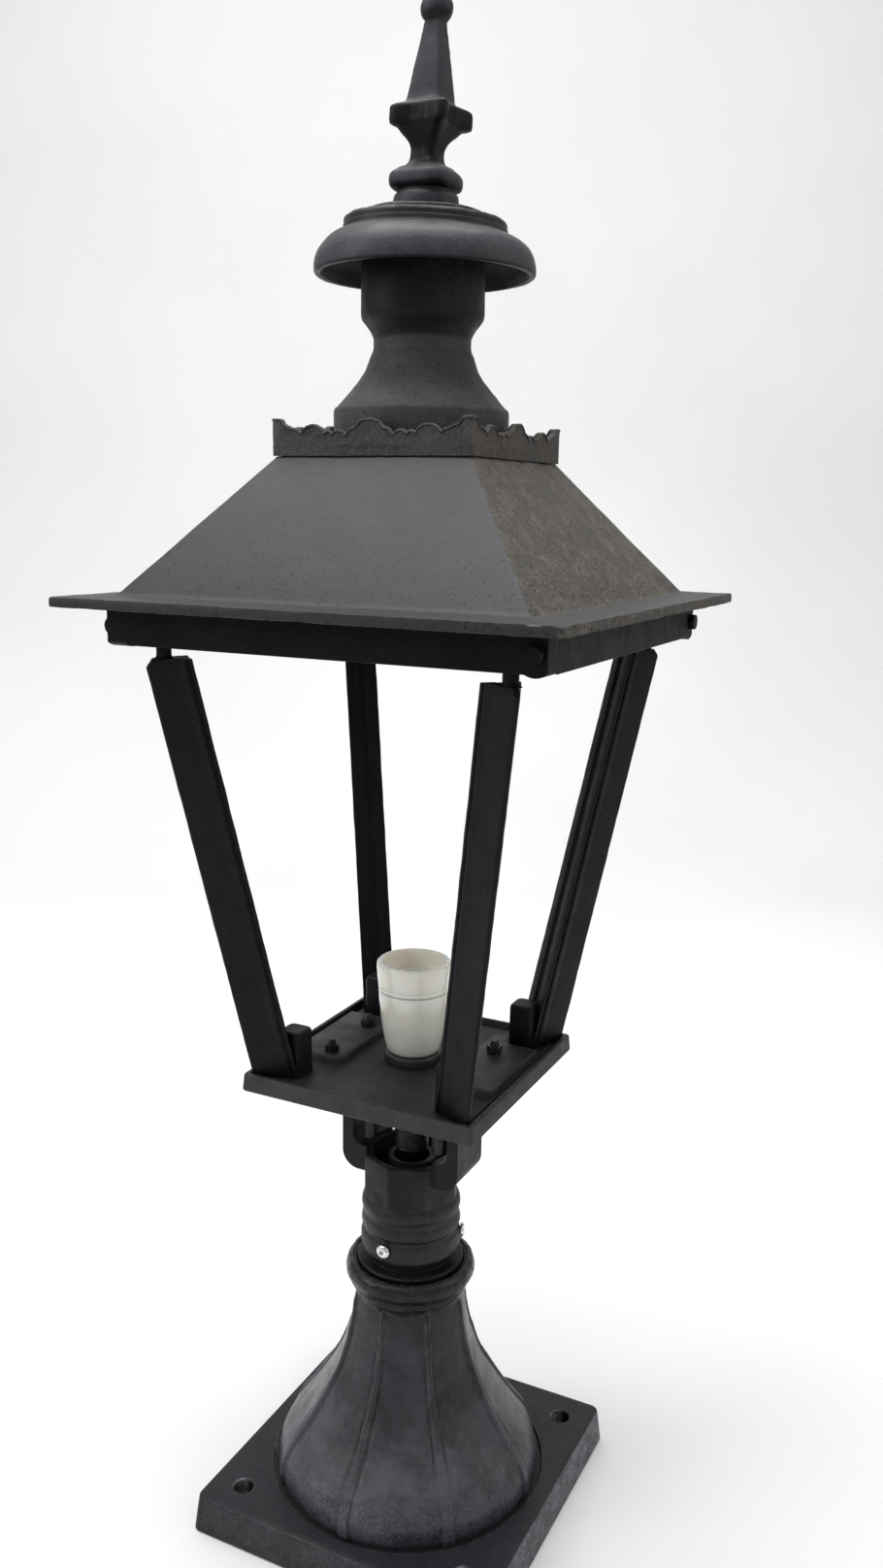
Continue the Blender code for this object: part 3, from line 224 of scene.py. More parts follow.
def along(direction, at):
    turn = Vector((0.0, 0.0, 1.0)).rotation_difference(Vector(direction).normalized())
    return Matrix.Translation(Vector(at)) @ turn.to_matrix().to_4x4()


def quarter(index):
    return Matrix.Rotation(math.pi / 2.0 * index, 4, "Z")


def merged(*parts):
    """Several bmeshes in one."""
    whole = bmesh.new()
    for part in parts:
        mesh = bpy.data.meshes.new("part")
        part.to_mesh(mesh)
        part.free()
        whole.from_mesh(mesh)
        bpy.data.meshes.remove(mesh)
    return whole


def temp_object(bm):
    mesh = bpy.data.meshes.new("temp")
    bm.to_mesh(mesh)
    bm.free()
    obj = bpy.data.objects.new("temp", mesh)
    bpy.context.scene.collection.objects.link(obj)
    return obj


def carved(bm, *steps):
    """Apply ("cut" or "join", bmesh) steps as exact Booleans and return the resulting bmesh."""
    obj = temp_object(bm)
    tools = []
    for kind, tool_bm in steps:
        tool = temp_object(tool_bm)
        mod = obj.modifiers.new("b", "BOOLEAN")
        mod.operation = "DIFFERENCE" if kind == "cut" else "UNION"
        mod.solver = "EXACT"
        mod.object = tool
        tools.append(tool)
    bpy.context.view_layer.update()
    graph = bpy.context.evaluated_depsgraph_get()
    mesh = bpy.data.meshes.new_from_object(obj.evaluated_get(graph))
    out = bmesh.new()
    out.from_mesh(mesh)
    bpy.data.meshes.remove(mesh)
    for item in tools + [obj]:
        data = item.data
        bpy.data.objects.remove(item, do_unlink=True)
        bpy.data.meshes.remove(data)
    bmesh.ops.dissolve_degenerate(out, edges=out.edges[:], dist=1e-6)
    return out


def rough_cast(bm, *layers):
    """Push vertices in and out, as a sand casting's surface is: (amount mm, size mm, seed)."""
    for amount, size, seed in layers:
        bm.normal_update()
        offset = Vector((seed, -seed, seed * 0.5))
        for v in bm.verts:
            p = v.co / (size * MM) + offset
            v.co += v.normal * (noise.fractal(p, 0.9, 2.1, 3) * (amount * MM))
    return bm


def piece(node, bm, material, body, smooth):
    """Skin that stands for a CAD node; edges sharper than smooth degrees stay sharp."""
    name = node + "_skin"
    mesh = bpy.data.meshes.new(name)
    bm.to_mesh(mesh)
    bm.free()
    mesh.materials.append(material)
    mesh.shade_smooth()
    mesh.set_sharp_from_angle(angle=math.radians(smooth))
    obj = bpy.data.objects.new(name, mesh)
    bpy.context.scene.collection.objects.link(obj)
    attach(obj, body)
    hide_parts(node)


# --- materials

class Nodes:
    """Short hand for building a node tree."""

    # sockets of a Mix node that carry colours
    COLOUR_A, COLOUR_B, COLOUR_OUT = 6, 7, 2

    def __init__(self, name):
        self.mat = bpy.data.materials.new(name)
        self.mat.use_nodes = True
        self.tree = self.mat.node_tree
        self.tree.nodes.clear()
        self.out = self.add("ShaderNodeOutputMaterial")
        self.shader = self.add("ShaderNodeBsdfPrincipled")
        self.link(self.shader, "BSDF", self.out, "Surface")
        self.coords = self.add("ShaderNodeTexCoord")

    def add(self, kind, **values):
        node = self.tree.nodes.new(kind)
        for key, value in values.items():
            setattr(node, key, value)
        return node

    def link(self, a, out, b, into):
        self.tree.links.new(a.outputs[out], b.inputs[into])

    def place(self, node, stretch=None):
        """Feed object coordinates in, optionally stretched."""
        if stretch is None:
            self.link(self.coords, "Object", node, "Vector")
            return node
        mapping = self.add("ShaderNodeMapping")
        mapping.inputs["Scale"].default_value = stretch
        self.link(self.coords, "Object", mapping, "Vector")
        self.link(mapping, "Vector", node, "Vector")
        return node

    def noise(self, scale, detail=4.0, rough=0.55, distortion=0.0, stretch=None):
        node = self.add("ShaderNodeTexNoise")
        node.inputs["Scale"].default_value = scale
        node.inputs["Detail"].default_value = detail
        node.inputs["Roughness"].default_value = rough
        node.inputs["Distortion"].default_value = distortion
        return self.place(node, stretch=stretch)

    def cells(self, scale):
        node = self.add("ShaderNodeTexVoronoi")
        node.inputs["Scale"].default_value = scale
        return self.place(node)

    def ramp(self, source, out, low, high, a=0.0, b=1.0):
        node = self.add("ShaderNodeMapRange")
        node.interpolation_type = "SMOOTHSTEP"
        node.inputs["From Min"].default_value = low
        node.inputs["From Max"].default_value = high
        node.inputs["To Min"].default_value = a
        node.inputs["To Max"].default_value = b
        self.link(source, out, node, "Value")
        return node

    def math(self, op, a, b, clamp=False):
        node = self.add("ShaderNodeMath", operation=op)
        node.use_clamp = clamp
        for k, value in enumerate((a, b)):
            if isinstance(value, (int, float)):
                node.inputs[k].default_value = value
            else:
                self.tree.links.new(self.socket(value, "Result"), node.inputs[k])
        return node

    def sampled(self, kind, socket, size):
        """Bevel or ambient occlusion node that reaches this many millimetres."""
        node = self.add(kind, samples=4)
        node.inputs[socket].default_value = size * MM
        return node

    def times(self, *factors):
        """Product of nodes and numbers."""
        node = factors[0]
        for factor in factors[1:]:
            node = self.math("MULTIPLY", node, factor)
        return node

    def socket(self, node, out):
        """The named output, or the first that carries a number."""
        if out in node.outputs:
            return node.outputs[out]
        for sock in node.outputs:
            if sock.enabled and sock.type == "VALUE":
                return sock
        return node.outputs[0]

    def mix(self, factor, a, b):
        """Blend two colours (nodes or tuples) by a factor node."""
        node = self.add("ShaderNodeMix", data_type="RGBA")
        node.clamp_factor = True
        if isinstance(factor, (int, float)):
            node.inputs[0].default_value = factor
        else:
            self.tree.links.new(self.socket(factor, "Result"), node.inputs[0])
        for value, index in ((a, self.COLOUR_A), (b, self.COLOUR_B)):
            if isinstance(value, tuple):
                node.inputs[index].default_value = (*value, 1.0)
            else:
                self.link(value, self.COLOUR_OUT, node, index)
        return node

    def colour_to(self, node, into):
        self.link(node, self.COLOUR_OUT, self.shader, into)

    def bump(self, height, strength, distance, before=None, out="Result"):
        node = self.add("ShaderNodeBump")
        node.inputs["Strength"].default_value = strength
        node.inputs["Distance"].default_value = distance
        self.tree.links.new(self.socket(height, out), node.inputs["Height"])
        if before is not None:
            self.link(before, "Normal", node, "Normal")
        return node


def tinted(colour, factor):
    return tuple(c * factor for c in colour)


def cast_paint(name, dark, light, rough, grain=0.5, grain_size=900.0, dust_and_light=0.0, dust_and_light_dir=(0, 0, 1),
               dust_and_light_colour=(0.19, 0.17, 0.145), wear=0.35, wear_colour=(0.16, 0.155, 0.15),
               edge=0.8, pits=0.3, spec=0.25, mottle=18.0, bands=(), specks=None, grit=0.0,
               crevice_shade=0.85, hollow_size=22.0, blotch=(0.3, 1.0), sheen=0.085):
    """Satin paint over a sand casting: mottling, grain, pits, dusting, rubbed edges, painted shade
    and light.

    bands are (z below, z above, tint) steps in metres, specks the (z of most, z of none) of a
    sprinkle of dark pits, and grit the height of clumped dirt in millimetres.
    """
    n = Nodes(name)
    geometry = n.add("ShaderNodeNewGeometry")
    place_xyz = n.add("ShaderNodeSeparateXYZ")
    n.link(n.coords, "Object", place_xyz, "Vector")
    broad = n.noise(mottle, 6.0, 0.65, 0.4)
    fine = n.noise(grain_size, 3.0, 0.6)
    coarse = n.noise(grain_size * 0.25, 5.0, 0.7)
    base = n.mix(n.ramp(broad, "Fac", 0.3, 0.7), dark, light)
    # grain of the sand, light tips and dark hollows
    tips = n.ramp(fine, "Fac", 0.5, 0.72)
    base = n.mix(n.times(tips, 0.5), base, tinted(light, 2.2))
    hollows = n.ramp(coarse, "Fac", 0.46, 0.3)
    base = n.mix(n.times(hollows, 0.55), base, tinted(dark, 0.45))
    # each band scales the tone above a height: painted shade on the bracket's cup and arms, the
    # stack tube under the cowl and the crown; elsewhere it changes the tone towards the top,
    # lighter on the roof, darker on the bell and cowl
    for low, high, tint in bands:
        step = n.ramp(place_xyz, "Z", low, high)
        beyond = n.mix(n.ramp(broad, "Fac", 0.3, 0.7), tinted(dark, tint), tinted(light, tint))
        base = n.mix(step, base, beyond)
    # painted shade: darker in hollows, by ambient occlusion, and on undersides
    hollow = n.sampled("ShaderNodeAmbientOcclusion", "Distance", hollow_size)
    shade = n.ramp(hollow, "AO", 0.75, 0.35, 0.0, crevice_shade)
    base = n.mix(shade, base, tinted(dark, 0.22))
    upright = n.add("ShaderNodeSeparateXYZ")
    n.link(geometry, "Normal", upright, 0)
    under = n.ramp(upright, "Z", -0.12, -0.45, 0.0, 0.75)
    base = n.mix(under, base, tinted(dark, 0.3))
    # rubbed edges
    bevel = n.sampled("ShaderNodeBevel", "Radius", edge)
    soft = n.sampled("ShaderNodeBevel", "Radius", 0.25)
    dot = n.add("ShaderNodeVectorMath", operation="DOT_PRODUCT")
    n.link(bevel, "Normal", dot, 0)
    n.link(geometry, "Normal", dot, 1)
    turn = n.ramp(dot, "Value", 0.995, 0.9)
    patchy = n.ramp(n.noise(130.0, 4.0, 0.65), "Fac", 0.4, 0.6)
    rub = n.math("MULTIPLY", n.times(turn, patchy), wear, clamp=True)
    base = n.mix(rub, base, wear_colour)
    rough_total = n.ramp(n.noise(55.0, 5.0, 0.65), "Fac", 0.3, 0.7, rough - sheen, rough + sheen)
    dust_and_light_mask = None
    # faces turned towards the set direction get a paler colour: dust and weathering on the roof
    # and stack, dust and painted light on the gallery and tray, painted light alone on the lit
    # sides of the base, bracket and rails
    if dust_and_light:
        facing = n.add("ShaderNodeVectorMath", operation="DOT_PRODUCT")
        n.link(geometry, "Normal", facing, 0)
        facing.inputs[1].default_value = Vector(dust_and_light_dir).normalized()
        side = n.ramp(facing, "Value", 0.15, 0.75)
        cloud = n.ramp(n.noise(64.0, 10.0, 0.85), "Fac", 0.4, 0.58, *blotch)
        scuff = n.ramp(n.noise(380.0, 4.0, 0.75), "Fac", 0.35, 0.65, 0.35, 1.0)
        outside = n.ramp(upright, "Z", -0.3, -0.1)
        dust_and_light_mask = n.times(n.times(side, cloud), n.times(scuff, dust_and_light), outside)
        base = n.mix(dust_and_light_mask, base, dust_and_light_colour)
        rough_total = n.math("ADD", rough_total, n.times(dust_and_light_mask, 0.5), clamp=True)
    if specks:
        cells = n.ramp(n.cells(230.0), "Distance", 0.36, 0.2)
        where = n.ramp(place_xyz, "Z", specks[1], specks[0], 0.0, 1.0)
        patch = n.ramp(n.noise(90.0, 5.0, 0.75), "Fac", 0.44, 0.56)
        speck = n.times(cells, patch, where)
        base = n.mix(n.times(speck, 0.85), base, (0.006, 0.006, 0.006))
    n.colour_to(base, "Base Color")
    n.tree.links.new(n.socket(rough_total, "Result"), n.shader.inputs["Roughness"])
    n.shader.inputs["Metallic"].default_value = 0.0
    n.shader.inputs["Specular IOR Level"].default_value = spec
    last = n.bump(coarse, grain * 0.7, 0.7 * MM, soft, "Fac")
    last = n.bump(fine, grain, 0.3 * MM, last, "Fac")
    if pits:
        holes = n.ramp(n.cells(260.0), "Distance", 0.0, 0.2, -1.0, 0.0)
        sparse = n.ramp(n.noise(45.0, 3.0), "Fac", 0.48, 0.58)
        last = n.bump(n.times(holes, sparse), pits, 0.5 * MM, last)
    if grit and dust_and_light_mask is not None:
        last = n.bump(dust_and_light_mask, 0.8, grit * MM, last)
    n.link(last, "Normal", n.shader, "Normal")
    return n.mat


def plain_finish(name, cloud, span, colours, rough_scale, rough, fine_scale, bump, **inputs):
    """Clouded colour, uneven gloss and a fine bump (strength, mm) for small hardware."""
    n = Nodes(name)
    tone = n.ramp(n.noise(*cloud), "Fac", *span)
    n.colour_to(n.mix(tone, *colours), "Base Color")
    for key, value in inputs.items():
        n.shader.inputs[key.replace("_", " ")].default_value = value
    spread = n.ramp(n.noise(*rough_scale), "Fac", 0.3, 0.7, *rough)
    n.link(spread, "Result", n.shader, "Roughness")
    fine = n.bump(n.noise(*fine_scale), bump[0], bump[1] * MM, None, "Fac")
    n.link(fine, "Normal", n.shader, "Normal")
    return n.mat


def glazed_porcelain(name):
    n = Nodes(name)
    cloud = n.ramp(n.noise(38.0, 4.0, 0.5, 0.3), "Fac", 0.3, 0.7)
    base = n.mix(cloud, (0.87, 0.85, 0.735), (0.92, 0.90, 0.80))
    grime = n.ramp(n.noise(95.0, 6.0, 0.7, 0.4), "Fac", 0.6, 0.85, 0.0, 0.28)
    base = n.mix(grime, base, (0.42, 0.39, 0.31))
    # painted shade: brownish dark inside the mouth and on its shelf, by ambient occlusion
    mouth_shade = n.sampled("ShaderNodeAmbientOcclusion", "Distance", 26.0)
    base = n.mix(n.ramp(mouth_shade, "AO", 0.5, 0.12, 0.0, 0.85), base, (0.2, 0.185, 0.14))
    n.colour_to(base, "Base Color")
    rough = n.ramp(n.noise(70.0, 3.0), "Fac", 0.3, 0.7, 0.12, 0.26)
    n.link(rough, "Result", n.shader, "Roughness")
    n.shader.inputs["Coat Weight"].default_value = 0.5
    n.shader.inputs["Coat Roughness"].default_value = 0.06
    n.shader.inputs["Subsurface Weight"].default_value = 0.3
    n.shader.inputs["Subsurface Scale"].default_value = 0.008
    bevel = n.sampled("ShaderNodeBevel", "Radius", 0.6)
    bump = n.bump(n.noise(60.0, 2.0), 0.08, 0.4 * MM, bevel, "Fac")
    n.link(bump, "Normal", n.shader, "Normal")
    return n.mat


# painted light and shade: the pale grey on faces turned to +x stands for the light on the
# bracket's right side, and the band darkens the cup and arms above the collar as painted shade
PAINT = cast_paint("head_paint", dark=(0.013, 0.0125, 0.0145), light=(0.021, 0.0205, 0.023),
                   rough=0.46, grain=0.35, dust_and_light=0.3, dust_and_light_dir=(1.0, 0.0, 0.2), spec=0.19,
                   dust_and_light_colour=(0.11, 0.108, 0.106), bands=((0.241, 0.246, 0.25),),
                   crevice_shade=0.95, hollow_size=32.0)
PAINT_ROUGH = cast_paint("gallery_paint", dark=(0.028, 0.028, 0.031), light=(0.042, 0.041, 0.043),
                         rough=0.62, grain=0.9, grain_size=620.0, dust_and_light=0.75, grit=0.5,
                         dust_and_light_dir=(1.0, -0.1, 0.5), dust_and_light_colour=(0.13, 0.11, 0.085), pits=0.6,
                         spec=0.2)
PAINT_ROOF = cast_paint("roof_paint", dark=(0.0165, 0.017, 0.018), light=(0.0178, 0.0182, 0.0192),
                        rough=0.52, grain=0.35, dust_and_light=1.0, dust_and_light_dir=(1.0, 0.0, 0.12), grit=2.4,
                        dust_and_light_colour=(0.19, 0.168, 0.138), pits=0.4, wear=0.5, mottle=5.0,
                        specks=(0.668, 0.745), blotch=(0.4, 1.0), sheen=0.015,
                        bands=((0.668, 0.7, 1.5), (0.7, 0.75, 1.85)))
# the band darkens the tube above the flare: painted shade under the cowl, and in part a glossier
# black paint than on the dusty casting below
PAINT_STACK = cast_paint("stack_paint", dark=(0.032, 0.032, 0.0345), light=(0.045, 0.044, 0.0455),
                         rough=0.52, grain=0.55, grain_size=760.0, dust_and_light=0.2, pits=0.4,
                         dust_and_light_dir=(1.0, 0.0, 0.5), dust_and_light_colour=(0.1, 0.096, 0.09),
                         bands=((0.829, 0.834, 0.12),), spec=0.17)
PAINT_COWL = cast_paint("cowl_paint", dark=(0.027, 0.028, 0.031), light=(0.037, 0.038, 0.041),
                        rough=0.46, grain=0.25, pits=0.2, spec=0.15, crevice_shade=0.92,
                        bands=((0.882, 0.889, 0.72), (0.893, 0.899, 0.45)), wear=0.2)
# the middle band makes the neck and crown almost black: painted shade under the ears
PAINT_FINIAL = cast_paint("finial_paint", dark=(0.021, 0.022, 0.025), light=(0.029, 0.03, 0.033),
                          rough=0.46, grain=0.35, dust_and_light=0.06, pits=0.25, wear=0.15, spec=0.14,
                          bands=((0.908, 0.918, 1.3), (0.931, 0.936, 0.06), (0.966, 0.969, 1.0)))
# a darker copy of the same black paint: painted shade on the bars' upright faces
PAINT_BAR = cast_paint("bar_paint", dark=(0.0075, 0.0066, 0.0084), light=(0.0115, 0.0102, 0.0128),
                       rough=0.42, grain=0.35, dust_and_light=0.1, wear=0.5, edge=1.1, spec=0.08,
                       wear_colour=(0.05, 0.05, 0.052))
PAINT_TRAY = cast_paint("tray_paint", dark=(0.015, 0.0145, 0.0155), light=(0.023, 0.0225, 0.0235),
                        rough=0.52, grain=0.6, dust_and_light=0.6, dust_and_light_dir=(0.8, -0.6, 0.1), grit=0.3,
                        dust_and_light_colour=(0.075, 0.068, 0.056))
PAINT_BELL = cast_paint("pedestal_paint", dark=(0.023, 0.023, 0.0275), light=(0.066, 0.066, 0.077),
                        rough=0.3, grain=0.3, grain_size=700.0, dust_and_light=0.15, wear=0.7, edge=1.2,
                        mottle=30.0, pits=0.35, spec=0.23, hollow_size=9.0,
                        bands=((0.045, 0.06, 1.0), (0.06, 0.12, 0.55), (0.13, 0.185, 0.16)))
# painted light: the pale bluish layer on faces turned to +x, a little towards -y, stands for the
# light on the base's lit sides
PAINT_BASE = cast_paint("base_paint", dark=(0.0095, 0.0088, 0.0115), light=(0.0135, 0.0125, 0.016),
                        rough=0.5, grain=0.25, dust_and_light=1.0, dust_and_light_dir=(1.0, -0.35, 0.0), spec=0.22,
                        dust_and_light_colour=(0.22, 0.217, 0.232), wear=0.5, edge=1.0, pits=0.2,
                        crevice_shade=0.96, hollow_size=34.0)
# near-black copy of the paint: painted shade on the tube in the gap under the collar
PAINT_TUBE = cast_paint("tube_paint", dark=(0.003, 0.003, 0.004), light=(0.006, 0.006, 0.007),
                        rough=0.42, grain=0.2, dust_and_light=0.1, spec=0.15)
# a darker copy of the same black paint, painted shade on the upright faces of rails and rail
# bolts; the paler layer on faces turned to +x is painted light
PAINT_RAIL = cast_paint("rail_paint", dark=(0.003, 0.0032, 0.0044), light=(0.005, 0.0053, 0.007),
                        wear=0.3, wear_colour=(0.05, 0.05, 0.052), rough=0.5, grain=0.8,
                        grain_size=700.0, dust_and_light=0.5, spec=0.09, grit=0.6,
                        dust_and_light_dir=(1.0, 0.0, 0.0), dust_and_light_colour=(0.075, 0.072, 0.066), pits=0.4)
ZINC = plain_finish("zinc", (420.0, 3.0), (0.3, 0.7), ((0.62, 0.63, 0.6), (0.8, 0.8, 0.78)),
                    (900.0, 2.0), (0.16, 0.34), (1400.0, 2.0, 0.55, 0.0, (1.0, 1.0, 6.0)),
                    (0.15, 0.05), Metallic=1.0)
STEEL = plain_finish("black_steel", (240.0, 4.0), (0.35, 0.7),
                     ((0.007, 0.007, 0.008), (0.03, 0.029, 0.028)), (500.0, 2.0), (0.32, 0.5),
                     (1600.0, 2.0), (0.2, 0.08), Specular_IOR_Level=0.35, Metallic=0.2)
PORCELAIN = glazed_porcelain("porcelain")
BRASS = plain_finish("brass", (210.0, 5.0, 0.6, 0.4), (0.35, 0.7),
                     ((0.62, 0.43, 0.16), (0.36, 0.24, 0.09)), (300.0, 3.0), (0.22, 0.45),
                     (900.0, 2.0), (0.15, 0.06), Metallic=1.0)
PLASTIC = plain_finish("black_plastic", (120.0, 3.0), (0.3, 0.7),
                       ((0.012, 0.012, 0.013), (0.024, 0.024, 0.025)), (420.0, 2.0), (0.4, 0.58),
                       (1500.0, 2.0), (0.2, 0.06))


# --- pedestal

def base_plate():
    """Square plate with a seat for the pedestal, four anchor holes and a cable way."""
    levels = ((115.3, 0.0, 6.4), (116.0, 0.8, 7.0), (115.1, 10.0, 7.0), (114.2, 19.0, 7.0),
              (113.5, 25.1, 7.0), (113.2, 25.8, 6.8), (112.4, 26.2, 6.2), (108.0, 26.2, 6.0))
    bm = square_stack(levels, 8)
    steps = [("cut", lathe([(0.0005, 0.0240), (0.1004, 0.0240), (0.1016, 0.0262), (0.1016, 0.04),
                            (0.0005, 0.04)], 128, closed=False)),
             ("cut", cyl(30.4 * MM, 6.0 * MM, 0.05, 64)),
             ("cut", cyl(23.0 * MM, -0.01, 0.05, 48))]
    for sx, sy in CORNERS:
        steps.append(("cut", cyl(7.0 * MM, -0.01, 0.05, 48, sx * ANCHOR_AT, sy * ANCHOR_AT)))
        rim = lathe([(0.0005, 0.0252), (0.0070, 0.0252), (0.0080, 0.0263), (0.0080, 0.04),
                     (0.0005, 0.04)], 48, closed=False)
        steps.append(("cut", moved(rim, shift(sx * ANCHOR_AT, sy * ANCHOR_AT))))
    bm = carved(bm, *steps)
    piece("base_plate", bm, PAINT_BASE, "base", 30)


def smooth01(x):
    x = min(1.0, max(0.0, x))
    return x * x * (3.0 - 2.0 * x)


def table(rows, z):
    """Smoothly read a column of (z, value) rows."""
    if z <= rows[0][0]:
        return rows[0][1]
    for k in range(len(rows) - 1):
        z0, v0 = rows[k]
        z1, v1 = rows[k + 1]
        if z <= z1:
            before = rows[k - 1] if k else rows[k]
            after = rows[k + 2] if k + 2 < len(rows) else rows[k + 1]
            m0 = (v1 - before[1]) / (z1 - before[0])
            m1 = (after[1] - v0) / (after[0] - z0)
            h = z1 - z0
            t = (z - z0) / h
            return ((2 * t ** 3 - 3 * t * t + 1) * v0 + (t ** 3 - 2 * t * t + t) * h * m0
                    + (-2 * t ** 3 + 3 * t * t) * v1 + (t ** 3 - t * t) * h * m1)
    return rows[-1][1]


BELL_ROWS = ((24.3, 96.6), (30.0, 97.0), (36.0, 96.8), (42.0, 95.3), (50.0, 91.0), (60.0, 84.0),
             (70.0, 77.0), (80.0, 70.6), (90.0, 64.6), (100.0, 58.8), (110.0, 54.0), (120.0, 50.3),
             (130.0, 47.2), (140.0, 44.9), (150.0, 43.0), (165.0, 41.0), (174.0, 39.8))


def bell_ring(z, per_side=36):
    """Ribbed section: nearly round at the foot, flatter panels higher up."""
    zm = z / MM
    corner = table(BELL_ROWS, zm)
    up = (zm - 26.0) / 148.0
    rib_half = 4.2 - 2.3 * min(1.0, up * 1.2)
    rib_tall = (1.7 - 0.5 * up) * smooth01((170.0 - zm) / 10.0)
    flat = 0.04 + 0.5 * smooth01((zm - 32.0) / 60.0)
    ring = []
    for side in range(8):
        for i in range(per_side):
            # columns crowd about the rib in the middle of the span
            s = -1.0 + 2.0 * i / per_side
            s = math.copysign(abs(s) ** 1.7, s)
            a = math.radians(22.5) * s
            octagon = math.cos(math.radians(22.5)) / math.cos(math.radians(22.5) - abs(a))
            r = corner * (1.0 - flat * (1.0 - octagon))
            across = abs(a) * corner
            d = across - rib_half
            edge = 0.8
            lift = rib_tall * smooth01((edge * 0.6 - d) / (edge * 1.5))
            groove = -1.1 * math.exp(-((d - 1.0) / 0.75) ** 2) * smooth01((168.0 - zm) / 50.0)
            r += lift + groove
            t = math.radians(45.0 * side) + a
            ring.append((r * MM * math.cos(t), r * MM * math.sin(t), z))
    return ring


def pedestal_bell():
    """Ribbed flare with a beaded neck ring, hollow inside."""
    heights = [24.4, 24.9, 26.0, 28.0, 31.0, 34.0]
    while heights[-1] + 2.6 < 168.0:
        heights.append(heights[-1] + 2.6)
    heights += [169.0, 172.0]
    rings = [bell_ring(h * MM) for h in heights]
    rings.insert(0, [(x * 0.985, y * 0.985, 24.3 * MM) for x, y, _ in rings[0]])
    inner = []
    plan = [Vector((x, y, 0)).normalized() for x, y, _ in rings[0]]
    for h in (172.0, 150.0, 120.0, 90.0, 60.0, 24.3):
        r = max(table(BELL_ROWS, h) - 8.0, 35.0)
        inner.append([(p.x * r * MM, p.y * r * MM, h * MM) for p in plan])
    bm = skin(rings + inner, closed=True)
    rough_cast(bm, (0.45, 22.0, 3.0), (0.16, 5.0, 9.0))
    band = turned([
        (33.9, 166.0, 0), (40.4, 166.0, 0.3), (41.0, 169.6, 0.8), (42.0, 170.6, 0.8),
        (42.5, 173.6, 1.0), (41.9, 174.8, 0.5), (43.4, 175.8, 0.8), (43.9, 177.8, 1.0),
        (45.9, 179.0, 1.6), (47.1, 182.0, 2.0), (47.3, 185.6, 2.0), (46.2, 189.2, 2.0),
        (44.2, 191.2, 1.4), (41.9, 191.6, 0.8), (40.9, 190.2, 0.8), (39.9, 190.4, 0.4),
        (39.3, 189.2, 0.6), (39.1, 187.2, 0), (33.9, 187.2, 0)], 128, 0.5)
    rough_cast(band, (0.4, 12.0, 5.0), (0.4, 4.0, 6.0))
    piece("pedestal_bell", merged(bm, band), PAINT_BELL, "base", 32)


def post_tube():
    """Round tube up through the pedestal, with the shoulder that shows under the collar, near
    black as painted shade.
    """
    bm = turned([
        (27.15, 6.3), (30.15, 6.3), (30.15, 187.5, 0.3), (38.8, 187.5, 0.3), (38.8, 192.8, 0.9),
        (37.6, 194.0, 0.9), (30.6, 194.0, 0.6), (30.15, 195.5, 0.6), (30.15, 245.0, 0.8),
        (27.15, 245.0, 0.5)], 96, 0.4)
    piece("post_tube", bm, PAINT_TUBE, "base", 35)


# --- head bracket

def bracket_arm(side):
    r_out, r_in = 13.0, 8.0
    outline = [(46.0, 330.2), (37.5, 330.2)]
    outline += arc(37.5 - r_in, 279.0 + r_in, r_in, 0, -90, 10)
    outline += [(26.5, 279.0), (26.5, 260.0)]
    outline += arc(46.0 - r_out, 260.0 + r_out, r_out, -90, 0, 12)
    bm = prism([(side * x * MM, z * MM) for x, z in outline], -0.020, 0.020, "XZ", 4)
    plan = [(37.5, -34.0), *arc(56.0, -28.0, 6.0, -90, 0, 6), *arc(56.0, 28.0, 6.0, 0, 90, 6),
            (37.5, 34.0)]
    foot = prism([(side * x * MM, y * MM) for x, y in plan], 0.3297, 0.3357, "XY")
    return bm, foot


